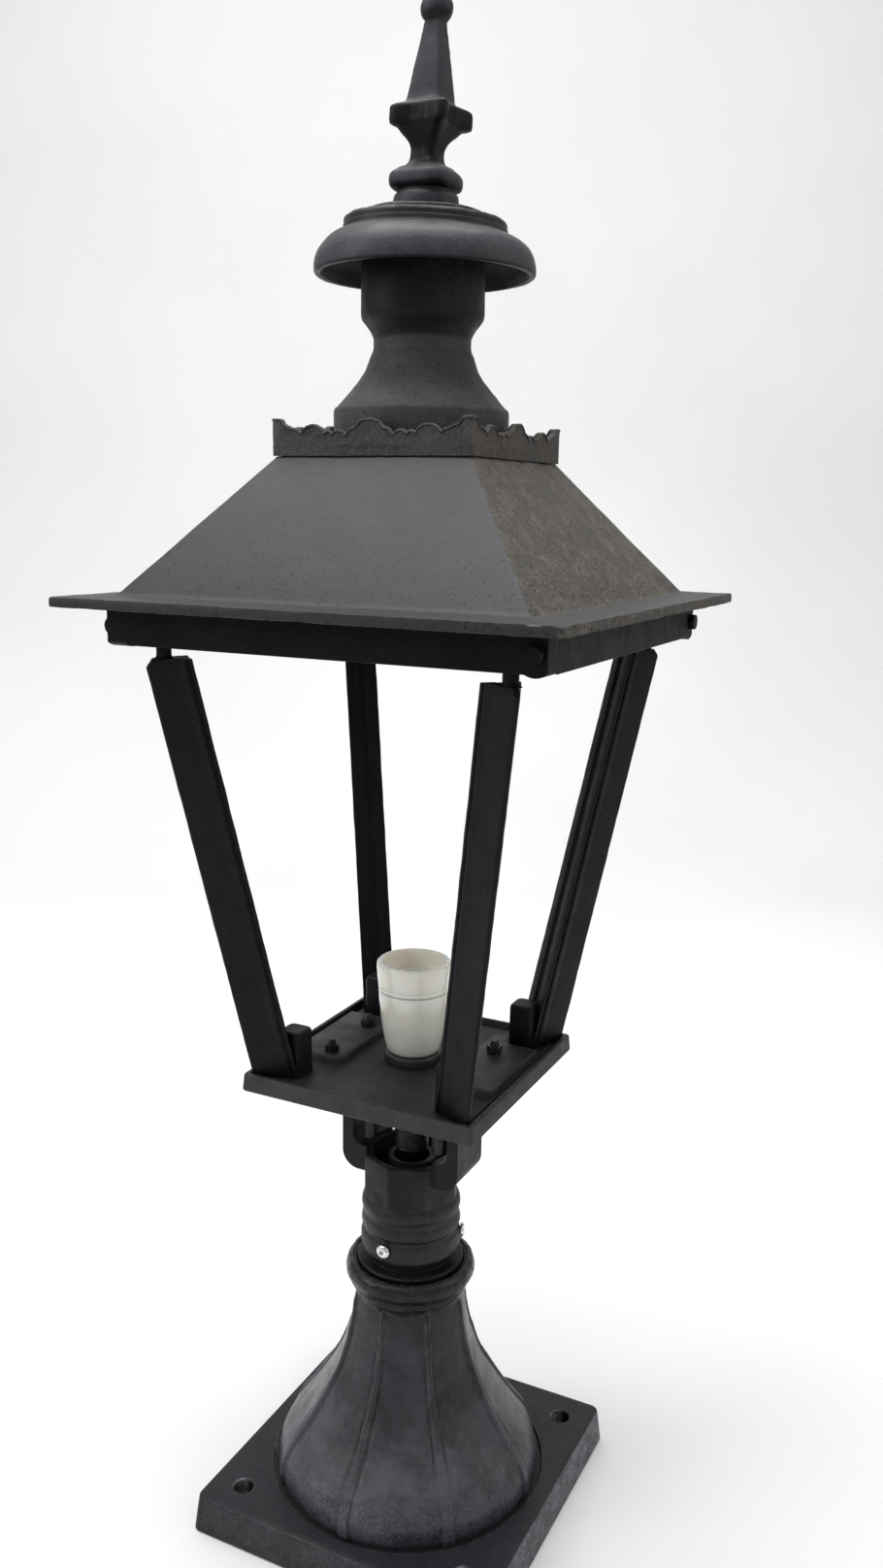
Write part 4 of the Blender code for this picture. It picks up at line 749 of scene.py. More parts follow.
def head_bracket():
    """Ridged collar, octagonal cup and two strap arms in one casting."""
    rows = [(34.2, 201.5, 0.6), (35.5, 202.4, 1.0), (36.0, 205.0, 1.5), (36.1, 210.0, 2.0),
            (35.7, 214.2, 1.6), (34.3, 216.2, 1.2), (34.2, 218.4, 1.2), (35.6, 220.4, 1.6),
            (35.95, 223.0, 1.8), (35.6, 226.6, 1.6), (34.5, 229.2, 1.4), (34.4, 231.6, 1.4),
            (35.6, 234.2, 1.8), (35.95, 237.0, 1.8), (35.2, 240.6, 1.8), (33.2, 242.8, 1.0),
            (33.0, 250.0, 0)]
    bm = turned([(0.4, 201.5), *rounded(rows, 1.0, 4), (0.4, 250.0)], 112, closed=False)
    rough_cast(bm, (0.3, 14.0, 2.0), (0.12, 3.5, 1.0))
    octagon = rounded([(x, y) for x, y, _ in circle(35.3, 0.0, 8)], 2.2, 4, closed=True)
    cup = skin([[(x * scale * MM, y * scale * MM, z * MM) for x, y in octagon]
                for scale, z in ((0.955, 242.2), (0.985, 243.0), (1.0, 244.6), (1.0, 258.0),
                                 (1.0, 272.6), (0.99, 274.2), (0.965, 275.0))])
    steps = [("join", cup)]
    for side in (-1, 1):
        arm, foot = bracket_arm(side)
        steps += [("join", arm), ("join", foot)]
    bowl = turned([(0.4, 271.0), (17.0, 271.0, 0.8), (18.6, 270.0, 1.0), (18.9, 252.0, 1.2),
                   (27.4, 252.0, 2.0), (28.5, 262.0, 2.0), (28.5, 273.6, 0.8), (29.4, 275.4, 0.5),
                   (29.6, 300.0, 0), (0.4, 300.0)], 96, 0.5, closed=False)
    steps.append(("cut", bowl))
    steps.append(("cut", cyl(30.45 * MM, 0.190, 0.2456, 96)))
    steps.append(("cut", cyl(13.2 * MM, 0.240, 0.290, 48)))
    for sx, sy in CORNERS:
        steps.append(("cut", cyl(M6_HOLE_R, 0.32, 0.34, 24, sx * TRAY_BOLT_X, sy * TRAY_BOLT_Y)))
    for angle in SCREW_ANGLES:
        steps.append(("cut", moved(cyl(M6_HOLE_R, 0.025, 0.045, 24), screw_frame(angle))))
    bm = carved(bm, *steps)
    piece("head_bracket", bm, PAINT, "head", 28)


def screw_frame(angle):
    a = math.radians(angle)
    return along((math.cos(a), math.sin(a), 0.0), (0.0, 0.0, SET_SCREW_Z))


def set_screw(index):
    """Button screw with a hexagon socket, in its hole through the collar."""
    seat = 36.3
    pts = rounded([(0.2, 30.6), (2.4, 30.6), (3.0, 31.2), (3.0, seat), (5.1, seat, 0.2),
                   (5.3, seat + 1.2, 0.5), (4.7, seat + 2.3, 0.8), (3.2, seat + 3.0, 0.6),
                   (2.3, seat + 3.0, 0.2), (2.1, seat + 2.7)], 0.3, 3)
    bm = turned([*pts, (2.1, seat + 1.0)], 48, closed=False)
    socket = cyl(2.08 * MM, (seat + 0.9) * MM, (seat + 6.0) * MM, 6)
    bm = carved(bm, ("cut", socket))
    name = "set_screw_%d" % (index + 1)
    piece(name, moved(bm, screw_frame(SCREW_ANGLES[index])), ZINC, name, 30)


# --- lamp tray

def tray_pad(side):
    x0, x1, y0, y1, r = 38.0, 76.5, -36.0, 57.0, 9.0
    pts = [(x1, y0 + 2.0), (x1 - 11.0, y0 + 2.0, 3.0), (x1 - 18.0, y0 + 0.4, 4.0)]
    pts += [(x1 - 24.0, y0, 3.0), (x0, y0, r), (x0, y1, r), (x0 + 10.5, y1, 3.0)]
    pts += [(x0 + 12.6, y1 - 8.0, 4.0), (x0 + 18.0, y1 - 11.5, 4.0), (x1, y1 - 12.0)]
    plan = rounded(pts, 3.0, 6)
    flat = [(side * x * MM, y * MM) for x, y in plan]
    rings = []
    cx, cy = side * 57.0 * MM, 10.0 * MM
    for grow, z in ((1.03, 342.0), (1.02, 345.6), (1.0, 348.8), (0.985, 349.8), (0.965, 350.0)):
        ring = []
        for x, y in flat:
            px = cx + (x - cx) * grow
            px = math.copysign(min(abs(px), 77.0 * MM), px)
            ring.append((px, cy + (y - cy) * grow, z * MM))
        rings.append(ring)
    return skin(rings)


def light_tray():
    """Square tray with a glazing groove and two raised pads."""
    levels = ((85.8, 336.0, 2.0), (86.7, 336.8, 2.6), (86.8, 338.0, 2.6), (86.0, 347.4, 2.4),
              (85.4, 348.3, 2.0), (84.6, 348.5, 1.6))
    bm = square_stack(levels, 4)
    channel = square_stack(((82.3, 343.2, 0.6), (82.6, 348.0, 0.6), (83.0, 352.0, 0.6)), 2)
    floor = square_stack(((77.6, 339.0, 1.4), (77.5, 344.4, 1.4), (76.9, 345.0, 1.4)), 3)
    steps = [("cut", channel), ("join", floor)]
    steps += [("join", tray_pad(-1)), ("join", tray_pad(1))]
    steps.append(("cut", cyl(12.3 * MM, 0.33, 0.36, 48)))
    for sx, sy in CORNERS:
        for x, y in ((TRAY_BOLT_X, TRAY_BOLT_Y), (FOOT_SCREW_AT, FOOT_SCREW_AT)):
            steps.append(("cut", cyl(M6_HOLE_R, 0.33, 0.36, 24, sx * x, sy * y)))
    for side in (-1, 1):
        steps.append(("cut", cyl(2.8 * MM, 0.33, 0.3422, 20, side * PILLAR_X, PILLAR_Y)))
    bm = carved(bm, *steps)
    piece("light_tray", bm, PAINT_TRAY, "head", 28)


def hex_rings(af, rows):
    """Hexagonal prism with chamfered corners from (share of the corner radius, z) rows in mm."""
    corner = af / math.sqrt(3.0)
    rings = []
    for limit, z in rows:
        ring = []
        for i in range(48):
            a = math.tau * (i + 0.5) / 48
            local = (math.degrees(a) - 30.0) % 60.0 - 30.0
            flat = (af / 2.0) / math.cos(math.radians(local))
            r = min(flat, limit * corner)
            ring.append((r * MM * math.cos(a), r * MM * math.sin(a), z * MM))
        rings.append(ring)
    return rings


def hex_nut(low, height, af=10.0, bore=3.25):
    high = low + height
    rings = hex_rings(af, [(0.88, low), (0.93, low + 0.35), (1.0, low + 0.8), (1.0, high - 0.8),
                           (0.93, high - 0.35), (0.88, high)])
    for r, z in ((bore + 0.5, high), (bore, high - 0.5), (bore, low + 0.5), (bore + 0.5, low)):
        rings.append(circle(r * MM, z * MM, len(rings[0]), 0.5))
    return skin(rings, closed=True)


def thread_rings(radius, z0, z1, pitch, depth, steps, count, taper=0.0):
    """Rings of a helical thread, whose last 0.8 mm is drawn in by taper."""
    rings = []
    for k in range(count + 1):
        z = z0 + (z1 - z0) * k / count
        end = taper * smooth01((z - (z1 - 0.8)) / 0.8)
        ring = []
        for i in range(steps):
            a = math.tau * i / steps
            phase = (z / pitch - i / steps) % 1.0
            r = radius - depth * abs(2.0 * phase - 1.0) - end
            ring.append((r * MM * math.cos(a), r * MM * math.sin(a), z * MM))
        rings.append(ring)
    return rings


def bracket_fasteners(index, sx, sy):
    at = shift(sx * TRAY_BOLT_X, sy * TRAY_BOLT_Y)
    head = skin(hex_rings(10.0, [(0.88, 325.1), (0.93, 325.4), (1.0, 325.9), (1.0, 329.4)]))
    shank = cyl(M6_SHANK_R, 0.3285, 0.3502, 24)
    end = skin(thread_rings(3.0, 350.0, 358.9, 1.0, 0.32, 24, 53, 0.5))
    bolt = moved(merged(head, shank, end), at)
    piece("bracket_bolt_%d" % index, bolt, STEEL, "head", 30)
    # the nuts were tightened to different angles
    turn = Matrix.Rotation(math.radians(11.0 + 17.0 * index), 4, "Z")
    nut = moved(hex_nut(350.3, 5.0), at @ turn)
    piece("bracket_nut_%d" % index, nut, STEEL, "head", 30)


def foot_screw(index, sx, sy):
    bm = turned([(2.2, 334.0), (2.3, 332.1, 0.1), (4.2, 332.1, 0.4), (5.4, 333.3, 0.5),
                 (5.4, 335.7, 0.2), (3.0, 335.7), (3.0, 363.3), (2.2, 364.3)], 36, 0.2,
                closed=False)
    moved(bm, shift(sx * FOOT_SCREW_AT, sy * FOOT_SCREW_AT))
    piece("foot_screw_%d" % index, bm, STEEL, "head", 30)


# --- corner bars

BAR_HALF = (
    (0.35, 0.0, 0.8), (1.3, 1.7, 0.9), (19.4, 8.4, 0.6), (23.6, 11.0, 0.9), (24.9, 10.9, 0.4),
    (25.0, 9.9, 0.3), (26.4, 10.1, 0.3), (26.8, 11.8, 0.4), (29.0, 12.2, 0.6), (29.0, 3.4, 0.5),
    (27.5, 2.7, 0.4),
)


def bar_section():
    """Closed (depth, width) section of a corner bar, nose to inside and back."""
    left = [(d, -w, r) for d, w, r in reversed(BAR_HALF[1:])]
    return rounded([*BAR_HALF, *left], 0.5, 3, closed=True)


# mm: foot and top of the straight stretch, the nose's distance out at the foot, and its lean
BAR_FOOT, BAR_TOP = 345.3, 625.6
BAR_FOOT_AT, BAR_LEAN = 81.1, 0.1605


def bar_ring(z, section, nose=0.0):
    """Section at a height; nose cuts its outer corner back."""
    half = BAR_FOOT_AT + BAR_LEAN * (z - BAR_FOOT)
    ring = []
    for d, w in section:
        d = max(d, nose)
        ring.append(((-half + (d + w) / math.sqrt(2.0)) * MM,
                     (-half + (d - w) / math.sqrt(2.0)) * MM, z * MM))
    return ring


def corner_bar(index):
    """Leaning bar with a sloped top, a round tenon and a square boss over the foot screw."""
    section = bar_section()
    rings = [bar_ring(BAR_FOOT + (BAR_TOP - BAR_FOOT) * k / 59, section) for k in range(60)]
    for z, nose in ((627.0, 0.5), (628.6, 1.9), (630.2, 3.5), (631.8, 4.9), (632.7, 5.8),
                    (633.0, 7.2)):
        rings.append(bar_ring(z, section, nose))
    bm = skin(rings)
    rough_cast(bm, (0.22, 16.0, 4.0 + index), (0.1, 4.0, 14.0 + index))
    tenon = cyl(4.75 * MM, 0.6250, 0.6549, 32, -TENON_AT, -TENON_AT, 0.0008)
    fillet = lathe([(0.0005, 0.6322), (0.0066, 0.6322), (0.0053, 0.6334), (0.00475, 0.6350),
                    (0.0005, 0.6350)], 32, closed=False)
    moved(fillet, shift(-TENON_AT, -TENON_AT))
    boss = square_stack(((9.9, 345.3, 4.4), (9.4, 347.0, 4.0), (9.2, 350.0, 3.8),
                         (9.1, 374.6, 3.8), (8.5, 376.3, 3.6), (7.4, 377.0, 3.0)), 6,
                        (-FOOT_SCREW_AT, -FOOT_SCREW_AT))
    rough_cast(boss, (0.15, 6.0, 24.0 + index))
    whole = moved(merged(bm, boss, tenon, fillet), quarter(index))
    piece("corner_bar_%d" % (index + 1), whole, PAINT_BAR, "head", 24)


# --- top rails

# mm: height range, middle of the bolts, their distance from the end, and the round end's radius
RAIL_LOW, RAIL_HIGH, RAIL_MID = 641.4, 664.8, 652.5
RAIL_BOLT_IN, RAIL_END_R = 7.7, 12.3
# mm, by quarter turn: side, round end, square end, distance of the outer face from the axis
RAILS = (("front", 147.0, -131.7, 136.5), ("right", 136.5, -121.2, 147.0),
         ("back", 147.0, -131.7, 136.5), ("left", 136.5, -121.2, 147.0))


def rail(index, side, reach, start, out):
    """Bar with one round end; the front and back ones carry the lugs on the bars' tenons."""
    inset, mid, r = reach - RAIL_BOLT_IN, RAIL_MID, RAIL_END_R
    drop = math.degrees(math.asin(10.7 / r))
    end = math.degrees(math.acos(RAIL_BOLT_IN / r))
    outline = [(start, RAIL_LOW), (start, RAIL_HIGH), (reach, RAIL_HIGH)]
    outline += arc(inset, mid, r, -end, -180.0 + drop, 18)
    layers = [(0.35, 0.0), (0.0, 0.35), (0.0, 7.5), (0.0, 14.65), (0.35, 15.0)]
    cx = (start + reach) / 2.0
    rings = []
    for shrink, depth in layers:
        ring = []
        for x, z in outline:
            fx = shrink * (1.0 if x > cx else -1.0)
            fz = shrink * (1.0 if z > mid else -1.0)
            ring.append(((x - fx) * MM, (depth - out) * MM, (z - fz) * MM))
        rings.append(ring)
    bm = skin(rings)
    steps = []
    if index % 2 == 0:
        for s in (-1, 1):
            lug = brick((s * TENON_AT - 9.5 * MM, (14.0 - out) * MM, RAIL_LOW * MM),
                        (s * TENON_AT + 9.5 * MM, -108.5 * MM, RAIL_HIGH * MM))
            steps.append(("join", lug))
            steps.append(("cut", cyl(5.1 * MM, 0.63, 0.656, 32, s * TENON_AT, -TENON_AT)))
    through = moved(cyl(M6_HOLE_R, -0.005, 0.03, 24), along((0, 1, 0),
                    (inset * MM, -out * MM, mid * MM)))
    steps.append(("cut", through))
    tapped = moved(cyl(M6_HOLE_R, -0.005, 0.0175, 24), along((1, 0, 0),
                   (start * MM, (RAIL_BOLT_IN - out) * MM, mid * MM)))
    steps.append(("cut", tapped))
    bm = carved(bm, *steps)
    moved(bm, quarter(index))
    piece("rail_" + side, bm, PAINT_RAIL, "head", 28)


def rail_bolt(index, side, reach, out):
    head = skin(hex_rings(10.0, [(1.0, -0.3), (1.0, -3.4), (0.94, -3.9), (0.86, -4.2)]))
    turn = Matrix.Rotation(math.radians(9.0 + 23.0 * index), 4, "Z")
    moved(head, turn)
    shank = cyl(M6_SHANK_R, -0.001, 0.031, 24)
    spot = along((0, 1, 0), ((reach - RAIL_BOLT_IN) * MM, -out * MM, RAIL_MID * MM))
    bm = moved(merged(head, shank), quarter(index) @ spot)
    piece("rail_bolt_" + side, bm, PAINT_RAIL, "head", 30)


# --- roof

EAVE_LIMIT = 166.3 * MM


def roof_shell():
    """Hollow roof with a worn eave."""
    rows = [(131.3, 665.1, 1.0), (165.4, 665.1, 1.6), (166.3, 665.8, 2.2), (166.4, 668.0, 2.2),
            (166.2, 670.4, 2.2), (165.2, 671.2, 1.8), (150.0, 671.6, 1.8), (139.6, 672.0, 1.8),
            (137.4, 672.9, 1.8), (135.9, 674.4, 1.8)]
    top, foot, spans = (67.9, 756.3), (135.9, 674.4), 48
    for k in range(1, spans):
        t = k / spans
        rows.append((foot[0] + (top[0] - foot[0]) * t, foot[1] + (top[1] - foot[1]) * t, 1.8))
    rows += [(67.9, 756.3, 1.8), (66.9, 757.3, 1.6), (60.0, 757.3, 1.6)]
    rings = [round_square(h * MM, r * MM, z * MM, 5, 110) for h, z, r in rows]
    plan = [Vector((x, y, 0)).normalized() for x, y, _ in rings[0]]
    for r, z in ((46.5, 757.3), (46.0, 756.8), (46.0, 753.6), (46.5, 753.1)):
        rings.append([(p.x * r * MM, p.y * r * MM, z * MM) for p in plan])
    for h, z, r in ((61.9, 753.1, 1.0), (97.0, 711.6, 1.0), (130.9, 671.0, 1.0)):
        rings.append(round_square(h * MM, r * MM, z * MM, 5, 110))
    bm = skin(rings, closed=True)
    for v in bm.verts:
        # worn outline of the eave, with a chip in the front corner
        p = v.co
        reach = max(abs(p.x), abs(p.y)) / MM
        if reach > 150.0:
            wave = noise.fractal(Vector((p.x, p.y, 0.0)) / (26.0 * MM), 0.9, 2.0, 3)
            nib = noise.fractal(Vector((p.x, p.y, 0.4)) / (5.0 * MM), 0.9, 2.0, 2)
            pull = (0.5 * wave + 0.6 * nib - 1.0) * MM * smooth01((reach - 158.0) / 8.0)
            p.x += math.copysign(pull, p.x) * (1.0 if abs(p.x) > abs(p.y) - 1e-4 else 0.0)
            p.y += math.copysign(pull, p.y) * (1.0 if abs(p.y) > abs(p.x) - 1e-4 else 0.0)
            p.z += 0.3 * MM * (wave + 0.6 * nib) * smooth01((reach - 150.0) / 15.0)
        if reach < 150.0 and p.z > 0.6716 and p.x > abs(p.y) - 0.002:
            # crusted paint on the weathered face
            clump = noise.fractal(Vector((p.x, p.y, p.z)) / (7.0 * MM), 0.85, 2.1, 5)
            crust = 0.55 * MM * clump * smooth01((p.x - abs(p.y)) / 0.006)
            p.x += crust * 0.77
            p.z += crust * 0.64
        corner = Vector((p.x - 0.1664, p.y + 0.1664, 0.0)).length
        if corner < 0.006:
            p.x -= 2.2 * MM * (1.0 - corner / 0.006)
            p.y += 2.2 * MM * (1.0 - corner / 0.006)
        notch = Vector((p.x - 0.150, p.y + 0.1664, 0.0)).length
        if notch < 0.005:
            p.y += 2.4 * MM * (1.0 - notch / 0.005)
    rough_cast(bm, (0.25, 30.0, 7.0))
    for v in bm.verts:
        v.co.x = max(-EAVE_LIMIT, min(EAVE_LIMIT, v.co.x))
        v.co.y = max(-EAVE_LIMIT, min(EAVE_LIMIT, v.co.y))
    piece("roof_shell", bm, PAINT_ROOF, "roof", 24)


# mm: distance from the middle of a side, height above the foot of the cresting
CREST = (
    (0, 22.6), (3, 22.4), (5, 21.8), (7, 20.6), (8.6, 18.9), (9.8, 17.6), (12, 17.4),
    (13.6, 16.6), (15.0, 14.6), (16, 13.6), (17, 14.4), (18.5, 15.6), (20.5, 16.2), (23, 16.0),
    (24.4, 15.0), (25.4, 13.8), (26.4, 14.6), (28, 15.6), (30, 15.2), (31.2, 14.4), (32.4, 16.0),
    (34.5, 18.0), (37, 19.0), (40, 19.4), (43, 18.8), (45.4, 17.4), (47, 15.6), (48.4, 14.8),
    (50, 16.2), (52, 17.0), (55, 17.8), (58, 18.8), (60.6, 20.0), (62.0, 22.4), (63.4, 23.0),
    (68.3, 23.0),
)


def crest_height(u, seed):
    """Height of the scallops at u from the middle of a side, a little uneven."""
    return table(CREST, abs(u)) + 0.5 * noise.noise(Vector((u * 0.35, seed, 0.3)))


def gallery():
    """Cast cresting: each side is a plate whose top follows the scallops."""
    h, wall, cols = 68.3, 4.2, 150
    parts = []
    for side in range(4):
        rings = []
        for i in range(cols + 1):
            u = -h + 2.0 * h * i / cols
            top = 757.0 + crest_height(u, side * 3.7)
            inset = wall if abs(u) < h - wall else h - abs(u)
            inset = max(inset, 0.05)
            ring = [(u, -h, 757.6)]
            for k in range(9):
                z = 758.0 + (top - 2.6 - 758.0) * k / 8.0
                bar = 0.6 * math.exp(-((z - 764.2 + 0.02 * u) / 0.9) ** 2)
                bar *= smooth01((30.0 - abs(u + 2.0)) / 6.0)
                ring.append((u, -h - bar, z))
            lip = ((0.05, top - 1.9), (-0.55, top - 1.4), (-0.55, top - 0.5), (-0.1, top),
                   (inset * 0.75, top), (inset, top - 0.9), (inset, 764.0), (inset, 757.6))
            ring += [(u, -h + y, z) for y, z in lip]
            rings.append([(x * MM, y * MM, z * MM) for x, y, z in ring])
        bm = skin(rings)
        rough_cast(bm, (0.22, 6.0, 11.0 + side), (0.16, 2.4, 21.0 + side))
        parts.append(moved(bm, quarter(side)))
    for sx, sy in CORNERS:
        post = square_stack(((2.6, 757.6, 0.7), (2.8, 760.0, 0.7), (2.8, 778.6, 0.7),
                             (2.3, 779.5, 0.7)), 3, (sx * 65.6 * MM, sy * 65.6 * MM))
        parts.append(rough_cast(post, (0.25, 3.0, 31.0)))
    piece("gallery", merged(*parts), PAINT_ROUGH, "roof", 38)


def chimney():
    """Turned ventilation stack, with the spokes that hold the rod."""
    w = 31.0
    rows = [(56.1, 757.6, 0.4), (56.2, 787.0, 1.2), (55.2, 789.0, 1.0), (53.6, 789.6, 0.6),
            (53.2, 790.6, 0.6), (51.4, 792.2, 1.2), (49.3, 795.0, 3.0), (45.4, 799.2, 3.0),
            (42.5, 802.8, 3.0), (39.2, 807.0, 3.0), (36.5, 811.2, 3.0), (34.8, 815.4, 3.0),
            (33.3, 819.8, 2.5), (32.2, 822.2, 1.2), (31.5, 823.4, 0.8), (w, 825.4, 0.8),
            (w - 0.2, 829.0, 2.0), (w, 832.0, 1.6), (32.0, 834.4, 1.8), (34.0, 837.6, 2.4),
            (36.6, 840.6, 2.4), (38.5, 843.0, 1.8), (39.2, 845.8, 1.4), (39.1, 884.0, 0.8),
            (35.7, 884.0, 0.6), (35.7, 847.0, 1.0), (27.6, 834.0, 2.0), (27.6, 825.8, 2.0),
            (39.0, 800.4, 3.0), (48.5, 788.6, 3.0), (50.8, 784.0, 2.0), (50.8, 757.6, 0.3)]
    bm = turned(rows, 128, 1.0, 4)
    rough_cast(bm, (0.3, 16.0, 12.0), (0.12, 3.0, 13.0))
    spokes = []
    for turn in (0, 1):
        spokes.append(moved(brick((-0.0372, -0.003, 0.876 + 0.0002 * turn),
                                  (0.0372, 0.003, 0.8835 - 0.0002 * turn)), quarter(turn)))
    hub = turned([(4.5, 875.6), (9.5, 875.6), (9.5, 888.0), (4.5, 888.0)], 40, 0.6)
    piece("chimney", merged(bm, *spokes, hub), PAINT_STACK, "roof", 40)


def cowl():
    """Turned cap over the stack, slightly tipped and off centre as cast."""
    rows = [(65.7, 869.6, 0.6), (68.6, 869.3, 0.9), (69.6, 870.6, 0.8), (69.75, 873.6, 1.4),
            (69.2, 877.4, 2.5), (68.0, 881.2, 3.0), (65.8, 885.0, 3.5), (62.2, 888.8, 3.5),
            (58.4, 891.6, 3.0), (54.8, 893.4, 2.0), (52.2, 894.0, 0.8), (51.5, 894.9, 0.5),
            (51.5, 897.6, 0.4), (51.0, 898.0, 0.3), (51.2, 900.6, 0.9), (49.8, 902.6, 1.4),
            (46.4, 903.2, 1.4), (40.4, 903.5, 0.8), (39.0, 903.9, 0.4), (38.7, 905.9, 0.7),
            (37.2, 907.0, 1.0), (30.0, 907.9, 2.0), (22.0, 908.5, 1.0), (4.5, 908.5, 0),
            (4.5, 888.3, 0), (11.0, 888.3, 0.6), (12.0, 896.6, 1.5), (42.0, 894.4, 3.0),
            (56.4, 887.4, 3.0), (63.2, 879.0, 3.0)]
    bm = turned(rows, 128, 1.0, 4)
    for v in bm.verts:
        # flash and lumps left on the upper band
        r = Vector((v.co.x, v.co.y)).length / MM
        z = v.co.z / MM
        if z > 898.0 and 38.0 < r < 52.5:
            lump = noise.fractal(v.co / (3.4 * MM), 0.8, 2.0, 3)
            v.co.z += 0.5 * MM * lump * smooth01((z - 899.0) / 2.5)
        tip = 0.028 * smooth01((z - 884.0) / 10.0)
        v.co.z -= tip * (v.co.x * 0.953 - v.co.y * 0.304)
        v.co.x += 0.9 * MM
        v.co.y += 0.45 * MM
    rough_cast(bm, (0.25, 20.0, 15.0))
    piece("cowl", bm, PAINT_COWL, "roof", 40)


def finial_ring(z, half, power, ears=0.0, count=80):
    shift = max(1.0, 0.055 * (z - 912.6))
    cx, cy = shift * math.cos(math.radians(27.0)), shift * math.sin(math.radians(27.0))
    ring = []
    for i in range(count):
        a = math.tau * i / count
        c = abs(math.cos(a)) ** power + abs(math.sin(a)) ** power
        r = half / c ** (1.0 / power)
        r *= 1.0 + ears * (0.5 - 0.5 * math.cos(4.0 * a)) ** 3
        r *= 1.0 + 0.2 * ears * max(0.0, math.cos(a - math.radians(40.0))) ** 6
        ring.append(((cx + r * math.cos(a)) * MM, (cy + r * math.sin(a)) * MM, z * MM))
    return ring


def finial():
    """Plinth, cushion, crown with ears, spire and ball."""
    rows = [(908.9, 20.2, 2.0), (909.3, 20.9, 2.0), (911.0, 20.9, 2.0), (914.4, 20.4, 2.0),
            (916.2, 20.0, 2.0), (917.0, 19.3, 2.0), (917.6, 18.2, 2.0),
            (918.8, 17.6, 2.2), (919.6, 18.0, 2.8), (920.2, 18.9, 3.4),
            (921.4, 19.7, 3.8), (923.2, 20.1, 3.9), (925.6, 20.2, 3.9),
            (927.8, 19.8, 3.9), (929.6, 18.6, 3.8), (930.8, 16.9, 3.8),
            (931.6, 15.8, 3.8), (932.4, 15.1, 3.8), (933.2, 12.6, 4.0),
            (934.4, 10.8, 4.4), (936.2, 9.5, 4.8), (938.6, 8.85, 5.0),
            (941.0, 8.7, 5.0), (943.4, 8.8, 5.0), (945.6, 9.5, 4.8),
            (947.6, 10.5, 4.5, 0.02), (949.6, 11.8, 4.2, 0.06), (951.6, 13.0, 4.0, 0.12),
            (953.6, 13.9, 3.9, 0.17), (955.0, 14.5, 3.8, 0.22), (955.6, 15.2, 3.8, 0.33),
            (956.6, 15.6, 3.8, 0.39), (958.6, 15.5, 3.8, 0.42), (962.0, 15.4, 3.8, 0.42),
            (965.0, 15.5, 3.8, 0.41), (966.6, 15.4, 3.8, 0.38), (967.6, 14.8, 3.8, 0.33),
            (968.6, 13.8, 4.2, 0.16), (969.4, 12.8, 5.5, 0.02), (971.0, 12.0, 7.0),
            (975.0, 11.4, 8.0)]
    for k in range(1, 16):
        t = k / 15.0
        rows.append((975.0 + 40.6 * t, 11.4 - 5.8 * t, 8.0 - 2.0 * t))
    rings = [finial_ring(*row) for row in rows]
    for deg in range(-32, 86, 9):
        a = math.radians(deg)
        rings.append(finial_ring(1023.0 + 10.0 * math.sin(a), 10.0 * math.cos(a), 2.0))
    bm = skin(rings)
    rough_cast(bm, (0.3, 9.0, 17.0), (0.15, 2.6, 18.0))
    piece("finial", bm, PAINT_FINIAL, "roof", 42)


# --- lamp holder

def holder_body():
    bm = turned([(17.2, 352.4, 0.5), (17.9, 352.4, 0.6), (18.9, 354.2, 1.2), (20.1, 358.5, 3.0),
                 (21.9, 368.0, 4.0), (23.5, 380.0, 4.0), (24.5, 391.0, 2.0), (24.8, 396.2, 0.5),
                 (24.2, 397.25, 0.4), (17.2, 397.25, 0.4), (16.8, 365.0, 0.5), (6.0, 365.0, 0.4),
                 (6.0, 352.4, 0.4)], 112, 0.5, 4)
    piece("holder_body", bm, PORCELAIN, "head", 40)


def holder_ring():
    bm = turned([(24.2, 397.65, 0.3), (24.9, 398.3, 0.4), (24.95, 400.4, 0.3), (24.5, 401.0, 0.1),
                 (25.2, 401.7, 0.3), (25.8, 408.0, 3.0), (26.3, 414.6, 1.5), (25.9, 417.4, 1.0),
                 (24.3, 418.4, 1.0), (22.6, 417.8, 0.9), (21.9, 415.6, 1.0), (21.3, 407.2, 0.8),
                 (20.2, 406.0, 0.8), (16.6, 406.0, 0.5), (15.7, 405.0, 0.5), (15.7, 397.65, 0.3)],
                112, 0.5, 4)
    piece("holder_ring", bm, PORCELAIN, "head", 40)


def screw_shell():
    """Thin brass sleeve rolled into a round thread."""
    outer, inner = [], []
    for k in range(61):
        z = 365.4 + 21.4 * k / 60.0
        wave = 0.42 * math.sin(math.tau * (z - 365.4) / 3.6)
        outer.append((14.55 + wave, z))
        inner.append((13.85 + wave, z))
    lip = [(15.6, 387.4), (15.6, 387.9), (14.4, 387.9)]
    piece("screw_shell", turned(outer + lip + inner[::-1], 72), BRASS, "head", 50)


def centre_contact():
    """Bent brass tongue."""
    under = [(-9.5, 365.3, 0.1), (-6.0, 365.3, 1.0), (-3.2, 368.0, 1.5), (3.2, 368.0, 1.5),
             (6.0, 365.3, 1.0), (9.5, 365.3, 0.1)]
    over = [(9.5, 366.1, 0.1), (5.8, 366.1, 1.0), (2.9, 368.7, 1.5), (-2.9, 368.7, 1.5),
            (-5.8, 366.1, 1.0), (-9.5, 366.1, 0.1)]
    tongue = [(x * MM, z * MM) for x, z in rounded(under + over, 0.4, 4, closed=True)]
    piece("centre_contact", prism(tongue, -0.003, 0.003, "XZ"), BRASS, "head", 30)


def holder_seat():
    bm = turned([(12.3, 345.3), (20.4, 345.3, 0.3), (20.2, 350.4, 1.0), (18.6, 352.0, 1.0),
                 (12.3, 352.0, 0.3)], 80, 0.4)
    piece("holder_seat", bm, PLASTIC, "head", 40)


